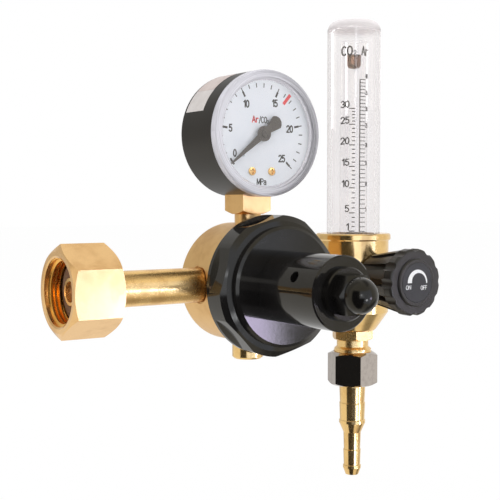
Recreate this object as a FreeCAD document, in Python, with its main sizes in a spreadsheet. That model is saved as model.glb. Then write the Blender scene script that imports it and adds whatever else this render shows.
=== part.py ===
import FreeCAD, Part
import math
import os
import Sketcher

# Gas flow regulator: cylinder-side union nut, pressure regulator with contents gauge,
# variable-area flow meter with needle valve, and a stepped hose tail. Millimetres.
# X runs from the union nut to the flow meter, Z is up, and the bonnet points along -Y.
# "forward" below means a distance in front of the plane of the ports, so y = -forward.

doc = FreeCAD.newDocument("gas_flow_regulator")
sheet = doc.addObject("Spreadsheet::Sheet", "Sizes")
V = FreeCAD.Vector


class Size:
    # A length with its value and the sheet expression that it follows.
    def __init__(self, value, text):
        self.value = float(value)
        self.text = text

    def join(self, other, sign, value, swap=False):
        words = other.text if isinstance(other, Size) else repr(round(float(other), 7))
        pair = (words, self.text) if swap else (self.text, words)
        return Size(value, "(%s %s %s)" % (pair[0], sign, pair[1]))

    def __add__(self, other):
        return self.join(other, "+", self.value + number(other))

    def __radd__(self, other):
        return self.join(other, "+", number(other) + self.value, True)

    def __sub__(self, other):
        return self.join(other, "-", self.value - number(other))

    def __rsub__(self, other):
        return self.join(other, "-", number(other) - self.value, True)

    def __mul__(self, other):
        return self.join(other, "*", self.value * number(other))

    def __rmul__(self, other):
        return self.join(other, "*", number(other) * self.value, True)

    def __truediv__(self, other):
        return self.join(other, "/", self.value / number(other))

    def __neg__(self):
        return Size(-self.value, "(0 - %s)" % self.text)


def number(item):
    return item.value if isinstance(item, Size) else float(item)


class Named:
    pass


sizes = {
    # where the three axes stand
    "inlet_reach": 86.95, "flow_reach": 57.9,
    # clearances between pieces that move on one another
    "turning_gap": 0.35, "running_gap": 0.05, "touch_gap": 0.02,
    # inlet union nut, tail and seal
    "nut_flats": 32, "nut_length": 21.35, "thread_radius": 13.22, "thread_length": 4.4, "mouth_bevel": 0.4,
    "stem_radius": 7.2, "stem_bore": 3, "spigot_radius": 5.75, "spigot_stand": 2, "seal_thickness": 2,
    "head_thickness": 4.7, "filter_radius": 4.1, "filter_length": 7.5,
    # regulator body
    "body_radius": 25.2, "body_back": 14.5, "body_front": 13.2, "boss_length": 6.8, "boss_radius": 22,
    "chamber_wall": 4, "chamber_depth": 9, "valve_bore": 6, "valve_depth": 17, "socket_depth": 9,
    "passage_radius": 2.5, "cross_reach": 14, "cross_radius": 1.8, "port_radius": 5.6, "port_depth": 10.2,
    # valve, diaphragm and spring
    "nozzle_depth": 6, "nozzle_hole": 1.6, "valve_lift": 0.8, "poppet_radius": 4.5, "poppet_length": 4.7,
    "pin_radius": 1, "diaphragm_thickness": 1, "slip_thickness": 0.8, "plate_radius": 13,
    "plate_thickness": 2, "spring_wire": 3, "spring_radius": 8.5, "spring_length": 29,
    "button_thickness": 3, "screw_radius": 4,
    # bonnet
    "rim_radius": 28.9, "rim_width": 2.3, "flat_half": 27.4, "flange_width": 10, "collar_radius": 24.5,
    "collar_front": 15.5, "tube_radius": 14.5, "tube_wall": 2.7, "bonnet_front": 64, "end_wall": 5,
    "vent_forward": 51, "vent_radius": 2.25,
    # lock nut and cap
    "lock_flats": 13, "lock_height": 4.5, "cap_flange": 10.3, "cap_flange_height": 3, "cap_wall": 0.75,
    "cap_hex_height": 6, "dome_radius": 6.9, "screw_end": 9,
    # relief valve
    "relief_radius": 6.65, "relief_drop": 32.3, "relief_thread": 5, "relief_seat": 18.4, "relief_bore": 3.6,
    # pressure gauge
    "case_radius": 26, "case_front": 12.4, "case_back": 12, "case_wall": 1, "case_corner": 1.5,
    "saddle_rise": 36.3, "lens_front": 15.9, "window_recess": 1.6, "lens_thickness": 1, "lens_spigot": 1.5,
    "window_edge": 4.2, "window_slope": 1.2, "dial_gap": 0.2, "dial_front": 10,
    "dial_thickness": 0.6, "dial_screw_half": 4.9, "dial_screw_radius": 0.9, "dial_screw_length": 3.8,
    "square_side": 14, "square_low": 29, "square_high": 37.2, "coil_radius": 17, "coil_width": 8,
    "coil_depth": 2.6, "coil_shift": 1, "coil_socket": 4, "socket_half": 4.5, "tip_pin": 0.5,
    # gauge movement and pointer
    "movement_front": 4.5, "movement_room": 4, "movement_plate": 1.2, "movement_half": 6,
    "movement_top": 4, "post_radius": 1, "post_half": 4.8, "post_rise": 2.4, "arbor_radius": 0.6,
    "pinion_radius": 1.2, "sector_radius": 8, "mesh_gap": 0.3, "tail_pin": 4.6, "tail_drop": 0.8,
    "link_thickness": 0.6, "pointer_stand": 1.6, "pointer_thickness": 0.5, "hub_radius": 3.2,
    "hub_height": 1.1, "tick_margin": 4.4, "stop_reach": 13.2,
    # flow meter
    "flange_radius": 17, "flange_top": 19.8, "flange_low": 16.6, "cup_radius": 16.1, "cup_low": 15.9,
    "cone_low": 24.4, "cover_radius": 12, "cover_top": 115.4, "cover_wall": 2.4, "cover_floor": 8,
    "cover_seal": 2.2, "meter_radius": 6.2, "meter_seat": 5, "meter_top": 106, "bore_low": 2.6,
    "bore_high": 3.3, "float_radius": 2.4, "guard_low": 94, "guard_height": 6,
    # needle valve and knob
    "needle_bore": 4, "orifice_radius": 1, "orifice_forward": 6, "gland_radius": 6, "gland_length": 2.7,
    "gland_flats": 13, "gland_height": 4.1, "rod_radius": 2.9, "knob_back": 17, "knob_back_radius": 11,
    "knob_radius": 14.35, "knob_front": 42.4, "knob_ring": 10.2, "ring_height": 1, "rim_back": 36.2,
    "label_radius": 8.5, "label_thickness": 1.1,
    # outlet fitting, swivel nut and hose tail
    "fitting_flats": 17, "fitting_height": 4.4, "neck_radius": 7.2, "outlet_thread": 8.33,
    "fitting_low": 41.8, "swivel_flats": 20, "swivel_top": 34.3, "swivel_low": 49.4,
    "tail_head": 7.8, "tail_head_height": 4.5,
    "large_barb": 6, "small_barb": 4.1, "barb_bite": 0.35, "tail_bore": 2.3, "tail_low": 91.2,
}

S = Named()
for row, alias in enumerate(sizes, start=1):
    sheet.set("A%d" % row, alias)
    sheet.set("B%d" % row, str(sizes[alias]))
    sheet.setAlias("B%d" % row, alias)
    setattr(S, alias, Size(sizes[alias], "Sizes." + alias))
doc.recompute()

parts = []


def follow(item, path, length):
    if isinstance(length, Size):
        item.setExpression(path, length.text)


def body(label, x=0, y=0, z=0):
    # an empty body whose own origin stands at x, y, z
    made = doc.addObject("PartDesign::Body", label)
    made.Label = label
    made.Placement = FreeCAD.Placement(V(number(x), number(y), number(z)), FreeCAD.Rotation())
    for letter, length in (("x", x), ("y", y), ("z", z)):
        follow(made, ".Placement.Base." + letter, length)
    parts.append(made)
    return made


def sketch_on(owner, role, across=0, along=0, out=0, tilt=0):
    # a sketch on one of the body's own planes, shifted in that plane's own directions
    made = owner.newObject("Sketcher::SketchObject", owner.Name + "_outline")
    plane = [item for item in owner.Origin.OriginFeatures if item.Role == role][0]
    made.AttachmentSupport = [(plane, "")]
    made.MapMode = "FlatFace"
    spot = V(number(across), number(along), number(out))
    made.AttachmentOffset = FreeCAD.Placement(spot, FreeCAD.Rotation(V(1, 0, 0), tilt))
    for letter, length in (("x", across), ("y", along), ("z", out)):
        follow(made, ".AttachmentOffset.Base." + letter, length)
    return made


def pin_point(rules, texts, geometry, end, across, along):
    # ties one end of a line to its distances from the sketch's own axes
    for kind, length, axis in (("DistanceX", across, -2), ("DistanceY", along, -1)):
        if abs(number(length)) < 1e-9:
            rules.append(Sketcher.Constraint("PointOnObject", geometry, end, axis))
            texts.append(None)
        elif number(length) > 0:
            rules.append(Sketcher.Constraint(kind, -1, 1, geometry, end, number(length)))
            texts.append(length.text if isinstance(length, Size) else None)
        else:
            rules.append(Sketcher.Constraint(kind, geometry, end, -1, 1, -number(length)))
            texts.append((-length).text if isinstance(length, Size) else None)


def draw(made, corners):
    # a closed outline; a third entry is the radius of the arc that leads on to the next corner,
    # positive where the arc's centre lies to the left of the way round
    shapes = []
    ends = []
    rules = []
    texts = []
    count = len(corners)
    for index, corner in enumerate(corners):
        after = corners[(index + 1) % count]
        start = V(number(corner[0]), number(corner[1]), 0)
        stop = V(number(after[0]), number(after[1]), 0)
        if len(corner) == 2:
            shapes.append(Part.LineSegment(start, stop))
            ends.append((1, 2))
            continue
        radius = number(corner[2])
        half = (stop - start) * 0.5
        side = V(-half.y, half.x, 0).normalize()
        reach = math.sqrt(max(radius * radius - half.Length * half.Length, 0))
        centre = start + half + side * (reach if radius > 0 else -reach)
        first, last = (start, stop) if radius > 0 else (stop, start)
        circle = Part.Circle(centre, V(0, 0, 1), abs(radius))
        low = math.atan2(first.y - centre.y, first.x - centre.x)
        high = math.atan2(last.y - centre.y, last.x - centre.x)
        shapes.append(Part.ArcOfCircle(circle, low, high if high > low else high + 2 * math.pi))
        ends.append((1, 2) if radius > 0 else (2, 1))
    made.addGeometry(shapes, False)
    for index, corner in enumerate(corners):
        after = (index + 1) % count
        rules.append(Sketcher.Constraint("Coincident", index, ends[index][1], after, ends[after][0]))
        texts.append(None)
        pin_point(rules, texts, index, ends[index][0], corner[0], corner[1])
        if len(corner) == 3:
            rules.append(Sketcher.Constraint("Radius", index, abs(number(corner[2]))))
            bend = corner[2] if number(corner[2]) > 0 else -corner[2]
            texts.append(bend.text if isinstance(bend, Size) else None)
    made.addConstraint(rules)
    for index, text in enumerate(texts):
        if text:
            made.setExpression("Constraints[%d]" % index, text)
    return made


def draw_circle(made, across, along, radius):
    made.addGeometry([Part.Circle(V(number(across), number(along), 0), V(0, 0, 1), number(radius))], False)
    rules = [Sketcher.Constraint("Radius", 0, number(radius))]
    texts = [radius.text if isinstance(radius, Size) else None]
    pin_point(rules, texts, 0, 3, across, along)
    made.addConstraint(rules)
    for index, text in enumerate(texts):
        if text:
            made.setExpression("Constraints[%d]" % index, text)
    return made


def finish(owner, feature, cut):
    owner.Tip = feature
    before = owner.Shape.Volume if cut else 0
    doc.recompute()
    if cut and not owner.Shape.Volume < before - 1e-6:
        raise ValueError("nothing was cut by " + feature.Name)
    return feature


def turn(owner, axis, corners, cut=False, x=0, y=0, z=0, circle=None):
    # turns an outline about X (corners are x, radius) or about Y or Z (corners are radius, y or z)
    if axis == "z":
        made = sketch_on(owner, "XZ_Plane", x, z, -y if isinstance(y, Size) else -number(y))
    else:
        made = sketch_on(owner, "XY_Plane", x, y, z)
    if circle:
        draw_circle(made, circle[0], circle[1], circle[2])
    else:
        draw(made, corners)
    kind = "PartDesign::Groove" if cut else "PartDesign::Revolution"
    feature = owner.newObject(kind, owner.Name + "_turned")
    feature.Profile = made
    feature.ReferenceAxis = (made, ["H_Axis" if axis == "x" else "V_Axis"])
    feature.Angle = 360
    return finish(owner, feature, cut)


def raise_block(owner, axis, corners, low, high, cut=False):
    # pushes an outline from low to high along X, along Z, or forward for Y
    role = {"x": "YZ_Plane", "y": "XZ_Plane", "z": "XY_Plane"}[axis]
    made = draw(sketch_on(owner, role, 0, 0, low), corners)
    feature = owner.newObject("PartDesign::Pocket" if cut else "PartDesign::Pad", owner.Name + "_pushed")
    feature.Profile = made
    feature.Length = number(high) - number(low)
    length = high - low
    follow(feature, "Length", length)
    feature.Reversed = cut
    return finish(owner, feature, cut)


def ring_of(owner, feature, count):
    # repeats a cut all the way round the axis of its own sketch
    pattern = owner.newObject("PartDesign::PolarPattern", owner.Name + "_round")
    pattern.Originals = [feature]
    pattern.Axis = (feature.Profile[0], ["N_Axis"])
    pattern.Angle = 360
    pattern.Occurrences = count
    owner.Tip = pattern
    doc.recompute()
    return pattern


def hexagon(flats, first):
    # six corners of a hexagon with the given width over flats; first is the angle of one corner
    spots = []
    for step in range(6):
        angle = math.radians(first + 60 * step)
        across = math.cos(angle) / math.sqrt(3)
        along = math.sin(angle) / math.sqrt(3)
        spots.append(tuple(0 if abs(share) < 1e-9 else flats * share for share in (across, along)))
    return spots


def box(left, right, low, high):
    return [(left, low), (right, low), (right, high), (left, high)]


def bevel_hexagon(owner, axis, flats, face, way, edge=0.4):
    # takes the corners off one end of a hexagon; way is +1 where the metal lies on the higher side
    inner = flats / 2 - edge
    outer = flats * 0.66
    back = face + (outer - inner) * (0.577 * way)
    pairs = [(inner, face), (outer, face), (outer, back)]
    if axis == "x":
        pairs = [(along, radius) for radius, along in pairs]
    return turn(owner, axis, pairs, True)


def coil(label, wire, mean, length, turns, x, y, z, forward):
    # a round-wire compression spring that stands on x, y, z and runs up, or forward
    path = doc.addObject("Part::Helix", label + "_path")
    path.Radius = number(mean)
    path.Height = number(length) - number(wire)
    path.Pitch = path.Height.Value / turns
    follow(path, "Radius", mean)
    follow(path, "Height", length - wire)
    follow(path, "Pitch", (length - wire) / turns)
    loop = doc.addObject("Part::Circle", label + "_wire")
    loop.Radius = number(wire) / 2
    loop.Placement = FreeCAD.Placement(V(number(mean), 0, 0), FreeCAD.Rotation(V(1, 0, 0), 90))
    follow(loop, "Radius", wire / 2)
    follow(loop, ".Placement.Base.x", mean)
    made = doc.addObject("Part::Sweep", label)
    made.Label = label
    made.Sections = [loop]
    made.Spine = (path, ["Edge1"])
    made.Solid = True
    made.Frenet = True
    swing = FreeCAD.Rotation(V(1, 0, 0), 90) if forward else FreeCAD.Rotation()
    made.Placement = FreeCAD.Placement(V(number(x), number(y), number(z)), swing)
    for letter, place in (("x", x), ("y", y), ("z", z)):
        follow(made, ".Placement.Base." + letter, place)
    parts.append(made)
    return made


regulator_x = S.inlet_reach
flow_x = S.inlet_reach + S.flow_reach

# Union nut: a hexagon standing on its corner, threaded land at the mouth, relief, and a back wall.
spigot_tip = S.mouth_bevel + S.thread_length + 0.5
head_front = spigot_tip + S.spigot_stand + S.seal_thickness
head_back = head_front + S.head_thickness
head_radius = S.thread_radius - 1.6
nut_shoulder = head_back + S.turning_gap
relief_radius = S.thread_radius + 0.3

inlet_nut = body("inlet_nut")
raise_block(inlet_nut, "x", hexagon(S.nut_flats, 90), 0, S.nut_length)
bevel_hexagon(inlet_nut, "x", S.nut_flats, 0, 1)
bevel_hexagon(inlet_nut, "x", S.nut_flats, S.nut_length, -1)
turn(inlet_nut, "x", [
    (0, 0), (0, S.thread_radius + 0.7), (S.mouth_bevel, S.thread_radius),
    (S.mouth_bevel + S.thread_length, S.thread_radius),
    (S.mouth_bevel + S.thread_length + 0.4, relief_radius), (nut_shoulder, relief_radius),
    (nut_shoulder, S.stem_radius + S.turning_gap),
    (S.nut_length, S.stem_radius + S.turning_gap), (S.nut_length, 0)], True)

# Tail tube that the nut draws up: spigot, sealing shoulder, and a plain tube into the body.
stem_end = regulator_x - S.body_radius + S.socket_depth
filter_start = spigot_tip + 1.5
filter_end = filter_start + S.filter_length
inlet_stem = body("inlet_stem")
turn(inlet_stem, "x", [
    (spigot_tip, S.filter_radius), (spigot_tip, S.spigot_radius - 0.4),
    (spigot_tip + 0.4, S.spigot_radius),
    (head_front, S.spigot_radius), (head_front, head_radius), (head_back, head_radius),
    (head_back, S.stem_radius), (stem_end, S.stem_radius), (stem_end, S.stem_bore),
    (filter_end, S.stem_bore), (filter_end, S.filter_radius)])

inlet_seal = body("inlet_seal")
turn(inlet_seal, "x", box(head_front - S.seal_thickness, head_front, S.spigot_radius, head_radius - 0.2))

inlet_filter = body("inlet_filter")
turn(inlet_filter, "x", box(filter_start, filter_end, 0, S.filter_radius))

# Regulator body: a round block with a threaded front boss, the low-pressure chamber and its drillings.
boss_front = S.body_front + S.boss_length
chamber_radius = S.boss_radius - S.chamber_wall
chamber_floor = boss_front - S.chamber_depth
valve_end = S.valve_depth - chamber_floor
spot_radius = S.stem_radius + 0.6
port_low = S.body_radius - S.port_depth
relief_spot = S.body_radius - 1.2
relief_top = S.relief_seat - 2.5
regulator_body = body("regulator_body", regulator_x)
turn(regulator_body, "y", [
    (0, S.body_back), (S.body_radius - 2, S.body_back, Size(-2, "(0 - 2)")),
    (S.body_radius, S.body_back - 2), (S.body_radius, -S.body_front), (S.boss_radius, -S.body_front),
    (S.boss_radius, -boss_front),
    (chamber_radius, -boss_front), (chamber_radius, -chamber_floor), (S.valve_bore, -chamber_floor),
    (S.valve_bore, valve_end), (0, valve_end)])
turn(regulator_body, "x", [
    (-S.body_radius - 1, 0), (-S.body_radius - 1, spot_radius), (-S.body_radius + 1.7, spot_radius),
    (-S.body_radius + 1.7, S.stem_radius), (S.socket_depth - S.body_radius, S.stem_radius),
    (S.socket_depth - S.body_radius, S.passage_radius), (0, S.passage_radius), (0, 0)], True)
turn(regulator_body, "x", [
    (S.body_radius + 1, 0), (S.body_radius + 1, S.stem_radius),
    (S.body_radius - S.socket_depth, S.stem_radius), (S.body_radius - S.socket_depth, S.cross_radius),
    (S.cross_reach - 1, S.cross_radius),
    (S.cross_reach - 1, 0)], True)
turn(regulator_body, "y", box(0, S.cross_radius, -chamber_floor - 0.5, 1.5), True, x=S.cross_reach)
turn(regulator_body, "z", [
    (0, S.body_radius + 1), (S.port_radius, S.body_radius + 1), (S.port_radius, port_low),
    (1.2, port_low), (1.2, 0), (0, 0)], True)
turn(regulator_body, "z", [
    (0, -S.body_radius - 1), (S.relief_radius, -S.body_radius - 1), (S.relief_radius, -relief_spot),
    (S.relief_thread, -relief_spot), (S.relief_thread, -relief_top), (1.2, -relief_top),
    (1.2, -S.cross_reach), (0, -S.cross_reach)], True)
turn(regulator_body, "y", box(0, 1.2, -chamber_floor - 0.5, 1), True, z=-S.cross_reach)

# Valve: a screwed-in nozzle, the poppet behind it with its pin through the hole, and a light spring.
nozzle_back = chamber_floor - S.nozzle_depth
lip_back = nozzle_back - 0.5
poppet_front = lip_back - S.valve_lift
poppet_back = poppet_front - S.poppet_length
seat_nozzle = body("seat_nozzle", regulator_x)
turn(seat_nozzle, "y", [
    (S.nozzle_hole, -lip_back), (S.nozzle_hole + 1, -lip_back), (S.nozzle_hole + 1, -nozzle_back),
    (S.valve_bore, -nozzle_back), (S.valve_bore, -chamber_floor), (S.valve_bore + 2, -chamber_floor),
    (S.valve_bore + 2, -chamber_floor - 2), (S.nozzle_hole, -chamber_floor - 2)])

poppet = body("poppet", regulator_x)
turn(poppet, "y", [
    (0, -poppet_back), (S.poppet_radius - 0.5, -poppet_back), (S.poppet_radius, -poppet_back - 0.5),
    (S.poppet_radius, -poppet_front), (S.pin_radius, -poppet_front), (S.pin_radius, -boss_front),
    (0, -boss_front)])

coil("poppet_spring", Size(1, "1"), S.poppet_radius - 1.1, valve_end + poppet_back - S.touch_gap * 2, 3,
     regulator_x, valve_end - S.touch_gap - 0.5, 0, True)

# Diaphragm clamped on the boss, slip ring over it, pressure plate, spring, spring button and screw.
plate_back = boss_front + S.diaphragm_thickness
bonnet_seat = plate_back + S.slip_thickness
diaphragm = body("diaphragm", regulator_x)
turn(diaphragm, "y", box(0, S.boss_radius, -plate_back, -boss_front))

slip_ring = body("slip_ring", regulator_x)
turn(slip_ring, "y", box(chamber_radius, S.boss_radius, -bonnet_seat, -plate_back))

plate_front = plate_back + S.plate_thickness
stub_radius = S.spring_radius - S.spring_wire / 2 - 0.3
diaphragm_plate = body("diaphragm_plate", regulator_x)
turn(diaphragm_plate, "y", [
    (0, -plate_back), (S.plate_radius, -plate_back), (S.plate_radius, -plate_front),
    (stub_radius, -plate_front), (stub_radius - 0.6, -plate_front - 2), (0, -plate_front - 2)])

button_back = plate_front + S.spring_length
button_front = button_back + S.button_thickness
coil("adjusting_spring", S.spring_wire, S.spring_radius, S.spring_length - S.touch_gap * 2, 5,
     regulator_x, -plate_front - S.touch_gap - S.spring_wire / 2, 0, True)

spring_bore = S.tube_radius - S.tube_wall
spring_button = body("spring_button", regulator_x)
turn(spring_button, "y", [
    (0, -button_back + 2), (stub_radius - 0.6, -button_back + 2), (stub_radius, -button_back),
    (spring_bore - 1.3, -button_back), (spring_bore - 1.3, -button_front),
    (S.screw_radius - 0.8, -button_front), (S.screw_radius - 0.8, -button_front + 1),
    (0, -button_front + 1)])

screw_front = S.bonnet_front + S.screw_end
adjusting_screw = body("adjusting_screw", regulator_x)
turn(adjusting_screw, "y", [
    (0, -button_front + 1), (S.screw_radius - 1, -button_front + 1),
    (S.screw_radius - 1, -button_front - 1), (S.screw_radius, -button_front - 2),
    (S.screw_radius, -screw_front + 0.5), (S.screw_radius - 0.5, -screw_front), (0, -screw_front)])
raise_block(adjusting_screw, "y", box(-S.screw_radius - 1, S.screw_radius + 1, -0.6, 0.6),
            screw_front - 1.5, screw_front + 1, True)

# Bonnet: rim with six spanner flats that run out on a cone, stepped collar, and a long spring tube.
flange_front = S.body_front + S.flange_width
collar_front = S.body_front + S.collar_front
turning = body("bonnet_turning", regulator_x)
parts.remove(turning)
turn(turning, "y", [
    (S.boss_radius, -S.body_front), (S.rim_radius - 0.4, -S.body_front),
    (S.rim_radius, -S.body_front - 0.4), (S.rim_radius, -flange_front),
    (S.rim_radius - 2.4, -flange_front - 1.4), (S.collar_radius, -flange_front - 1.9),
    (S.collar_radius, -collar_front + 0.7),
    (S.collar_radius - 1.2, -collar_front), (S.tube_radius, -collar_front),
    (S.tube_radius, -S.bonnet_front + 0.5),
    (S.tube_radius - 0.5, -S.bonnet_front), (S.screw_radius, -S.bonnet_front),
    (S.screw_radius, -S.bonnet_front + S.end_wall), (spring_bore, -S.bonnet_front + S.end_wall),
    (spring_bore, -collar_front + 3.5), (chamber_radius - 0.5, -collar_front + 3.5),
    (chamber_radius - 0.5, -bonnet_seat), (S.boss_radius, -bonnet_seat)])
vent = draw_circle(sketch_on(turning, "YZ_Plane", tilt=25), -S.vent_forward, 0, S.vent_radius)
vent_cut = turning.newObject("PartDesign::Pocket", "vent_cut")
vent_cut.Profile = vent
vent_cut.Type = "ThroughAll"
finish(turning, vent_cut, True)

rim_front = S.body_front + S.rim_width
flats = body("bonnet_flats", regulator_x)
parts.remove(flats)
raise_block(flats, "y", hexagon(S.flat_half * 2, 15), S.body_front - 2, S.bonnet_front + 2)
turn(flats, "y", [
    (0, -S.body_front + 2), (S.rim_radius + 1, -S.body_front + 2), (S.rim_radius + 1, -rim_front + 1.8),
    (S.flat_half - 2, -rim_front - (S.rim_radius - S.flat_half + 2) * 1.8),
    (0, -rim_front - (S.rim_radius - S.flat_half + 2) * 1.8)])
bonnet = doc.addObject("Part::MultiCommon", "bonnet")
bonnet.Label = "bonnet"
bonnet.Shapes = [turning, flats]
parts.append(bonnet)

# Lock nut on the adjusting screw and the push-on cap over both.
lock_front = S.bonnet_front + S.lock_height
lock_nut = body("lock_nut", regulator_x)
raise_block(lock_nut, "y", hexagon(S.lock_flats, 0), S.bonnet_front, lock_front)
bevel_hexagon(lock_nut, "y", S.lock_flats, -lock_front, 1, 0.3)
turn(lock_nut, "y", box(0, S.screw_radius, -lock_front - 1, -S.bonnet_front + 1), True)

socket_flats = S.lock_flats + S.turning_gap
cap_flats = socket_flats + S.cap_wall * 2
cap_flange_front = S.bonnet_front + S.cap_flange_height
cap_hex_front = cap_flange_front + S.cap_hex_height
screw_cap = body("screw_cap", regulator_x)
raise_block(screw_cap, "y", hexagon(cap_flats, 0), S.bonnet_front + 1, cap_hex_front)
bevel_hexagon(screw_cap, "y", cap_flats, -cap_hex_front, 1, 0.5)
turn(screw_cap, "y", [
    (0, -S.bonnet_front), (S.cap_flange, -S.bonnet_front), (S.cap_flange, -cap_flange_front + 0.5),
    (S.cap_flange - 0.5, -cap_flange_front), (S.dome_radius, -cap_flange_front),
    (S.dome_radius, -cap_hex_front - 0.6, -S.dome_radius), (0, -cap_hex_front - 0.6 - S.dome_radius)])
raise_block(screw_cap, "y", hexagon(socket_flats, 0), S.bonnet_front - 1, lock_front + 1, True)
turn(screw_cap, "y", box(0, S.screw_radius + 0.6, -screw_front - 2, -S.bonnet_front + 1), True)

# Relief valve under the body: screwed body, rubber-faced poppet, spring and drilled plug.
relief_low = S.relief_drop
plug_top = relief_low - 4
relief_body = body("relief_body", regulator_x)
turn(relief_body, "z", [
    (1, -relief_top), (S.relief_thread, -relief_top), (S.relief_thread, -relief_spot),
    (S.relief_radius, -relief_spot), (S.relief_radius, -relief_low + 0.8),
    (S.relief_radius - 0.8, -relief_low), (S.relief_bore, -relief_low),
    (S.relief_bore, -S.relief_seat), (1, -S.relief_seat)])

relief_poppet = body("relief_poppet", regulator_x)
turn(relief_poppet, "z", box(0, S.relief_bore - S.turning_gap, -S.relief_seat - 2.5, -S.relief_seat))

relief_room = plug_top - S.relief_seat - 2.5
coil("relief_spring", Size(0.8, "0.8"), S.relief_bore - 1, relief_room - S.touch_gap * 2, 4,
     regulator_x, 0, -plug_top + S.touch_gap + 0.4, False)

relief_plug = body("relief_plug", regulator_x)
turn(relief_plug, "z", box(1.2, S.relief_bore, -relief_low + 0.6, -plug_top))

# Contents gauge: square-shanked stem, case, window, dial on two screws, Bourdon tube and movement.
stem_low = port_low + 1
arm_low = S.saddle_rise + 2.2
gauge_rise = S.saddle_rise + S.case_radius
coil_low = gauge_rise - S.coil_radius - S.coil_depth / 2
dial_back = S.dial_front - S.dial_thickness
half_side = S.square_side / 2
plate_low = coil_low + S.coil_socket + 1
screw_rise = coil_low + 2.8
gauge_stem = body("gauge_stem", regulator_x)
raise_block(gauge_stem, "z", box(-half_side, half_side, -half_side, half_side), S.square_low, S.square_high)
turn(gauge_stem, "y", box(0, S.case_radius, -S.case_front, S.case_back), True, z=gauge_rise)
turn(gauge_stem, "z", [
    (half_side * 0.95, S.square_low), (half_side * 1.6, S.square_low),
    (half_side * 1.6, S.square_low + half_side * 0.3)], True)
turn(gauge_stem, "z", [
    (0, stem_low), (S.port_radius, stem_low), (S.port_radius, S.square_low + 1),
    (half_side - 0.2, S.square_low + 1), (half_side - 0.2, arm_low + 0.8), (0, arm_low + 0.8)])
raise_block(gauge_stem, "y", [
    (-half_side + 0.5, arm_low + 0.3), (half_side - 0.5, arm_low + 0.3),
    (half_side - 0.5, coil_low + S.coil_socket), (0, coil_low + S.coil_socket), (0, coil_low),
    (-half_side + 0.5, coil_low)], -S.socket_half, S.socket_half)
raise_block(gauge_stem, "y", box(-half_side + 0.5, half_side - 0.5, arm_low + 0.5, plate_low),
            S.socket_half, dial_back)
turn(gauge_stem, "z", box(0, 1.2, stem_low - 1, arm_low + 3), True)
for side in (-1, 1):
    turn(gauge_stem, "y", box(0, S.dial_screw_radius, -dial_back - 1, -dial_back + S.dial_screw_length),
         True, x=S.dial_screw_half * side, z=screw_rise)

gauge_seal = body("gauge_seal", regulator_x)
turn(gauge_seal, "z", box(1.2, S.port_radius, port_low, stem_low))

gauge_case = body("gauge_case", regulator_x, 0, gauge_rise)
case_inside = S.case_radius - S.case_wall
inner_corner = S.case_corner - S.case_wall
turn(gauge_case, "y", [
    (0, S.case_back), (S.case_radius - S.case_corner, S.case_back, -S.case_corner),
    (S.case_radius, S.case_back - S.case_corner), (S.case_radius, -S.case_front),
    (case_inside, -S.case_front), (case_inside, S.case_back - S.case_corner, inner_corner),
    (case_inside - inner_corner, S.case_back - S.case_wall), (0, S.case_back - S.case_wall)])
case_hole_low = S.saddle_rise - gauge_rise - 1
case_hole_high = arm_low - gauge_rise + 4
turn(gauge_case, "z", box(0, half_side - 0.2, case_hole_low, case_hole_high), True)

window_front = S.lens_front - S.window_recess
lens_back = window_front - S.lens_thickness
spigot_back = S.case_front - S.lens_spigot
window_radius = S.case_radius - S.window_edge
gauge_lens = body("gauge_lens", regulator_x, 0, gauge_rise)
turn(gauge_lens, "y", [
    (0, -window_front), (window_radius, -window_front), (window_radius + S.window_slope, -S.lens_front),
    (S.case_radius - 1, -S.lens_front, Size(1, "1")), (S.case_radius, -S.lens_front + 1),
    (S.case_radius, -S.case_front), (case_inside, -S.case_front), (case_inside, -spigot_back),
    (case_inside - 1, -spigot_back), (case_inside - 1, -lens_back), (0, -lens_back)])

pointer_back = S.dial_front + S.pointer_stand
dial_radius = case_inside - S.dial_gap
stop_angle = math.radians(224.2)
gauge_dial = body("gauge_dial", regulator_x, 0, gauge_rise)
turn(gauge_dial, "y", box(1.5, dial_radius, -S.dial_front, -dial_back))
for side in (-1, 1):
    turn(gauge_dial, "y", box(0, S.dial_screw_radius, -S.dial_front - 1, -dial_back + 1), True,
         x=S.dial_screw_half * side, z=screw_rise - gauge_rise)
turn(gauge_dial, "y", box(0, 0.45, -pointer_back - S.pointer_thickness - 0.2, -S.dial_front + 0.3),
     x=S.stop_reach * math.cos(stop_angle), z=S.stop_reach * math.sin(stop_angle))

screw_end = S.dial_screw_length - dial_back - 0.2
for word, side in (("left", -1), ("right", 1)):
    dial_screw = body("dial_screw_" + word, regulator_x + S.dial_screw_half * side, 0, screw_rise)
    turn(dial_screw, "y", [
        (0, screw_end), (S.dial_screw_radius, screw_end), (S.dial_screw_radius, -S.dial_front),
        (S.dial_screw_radius + 0.8, -S.dial_front),
        (S.dial_screw_radius + 0.8, -S.dial_front - 0.5), (S.dial_screw_radius + 0.4, -S.dial_front - 0.8),
        (0, -S.dial_front - 0.8)])

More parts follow.
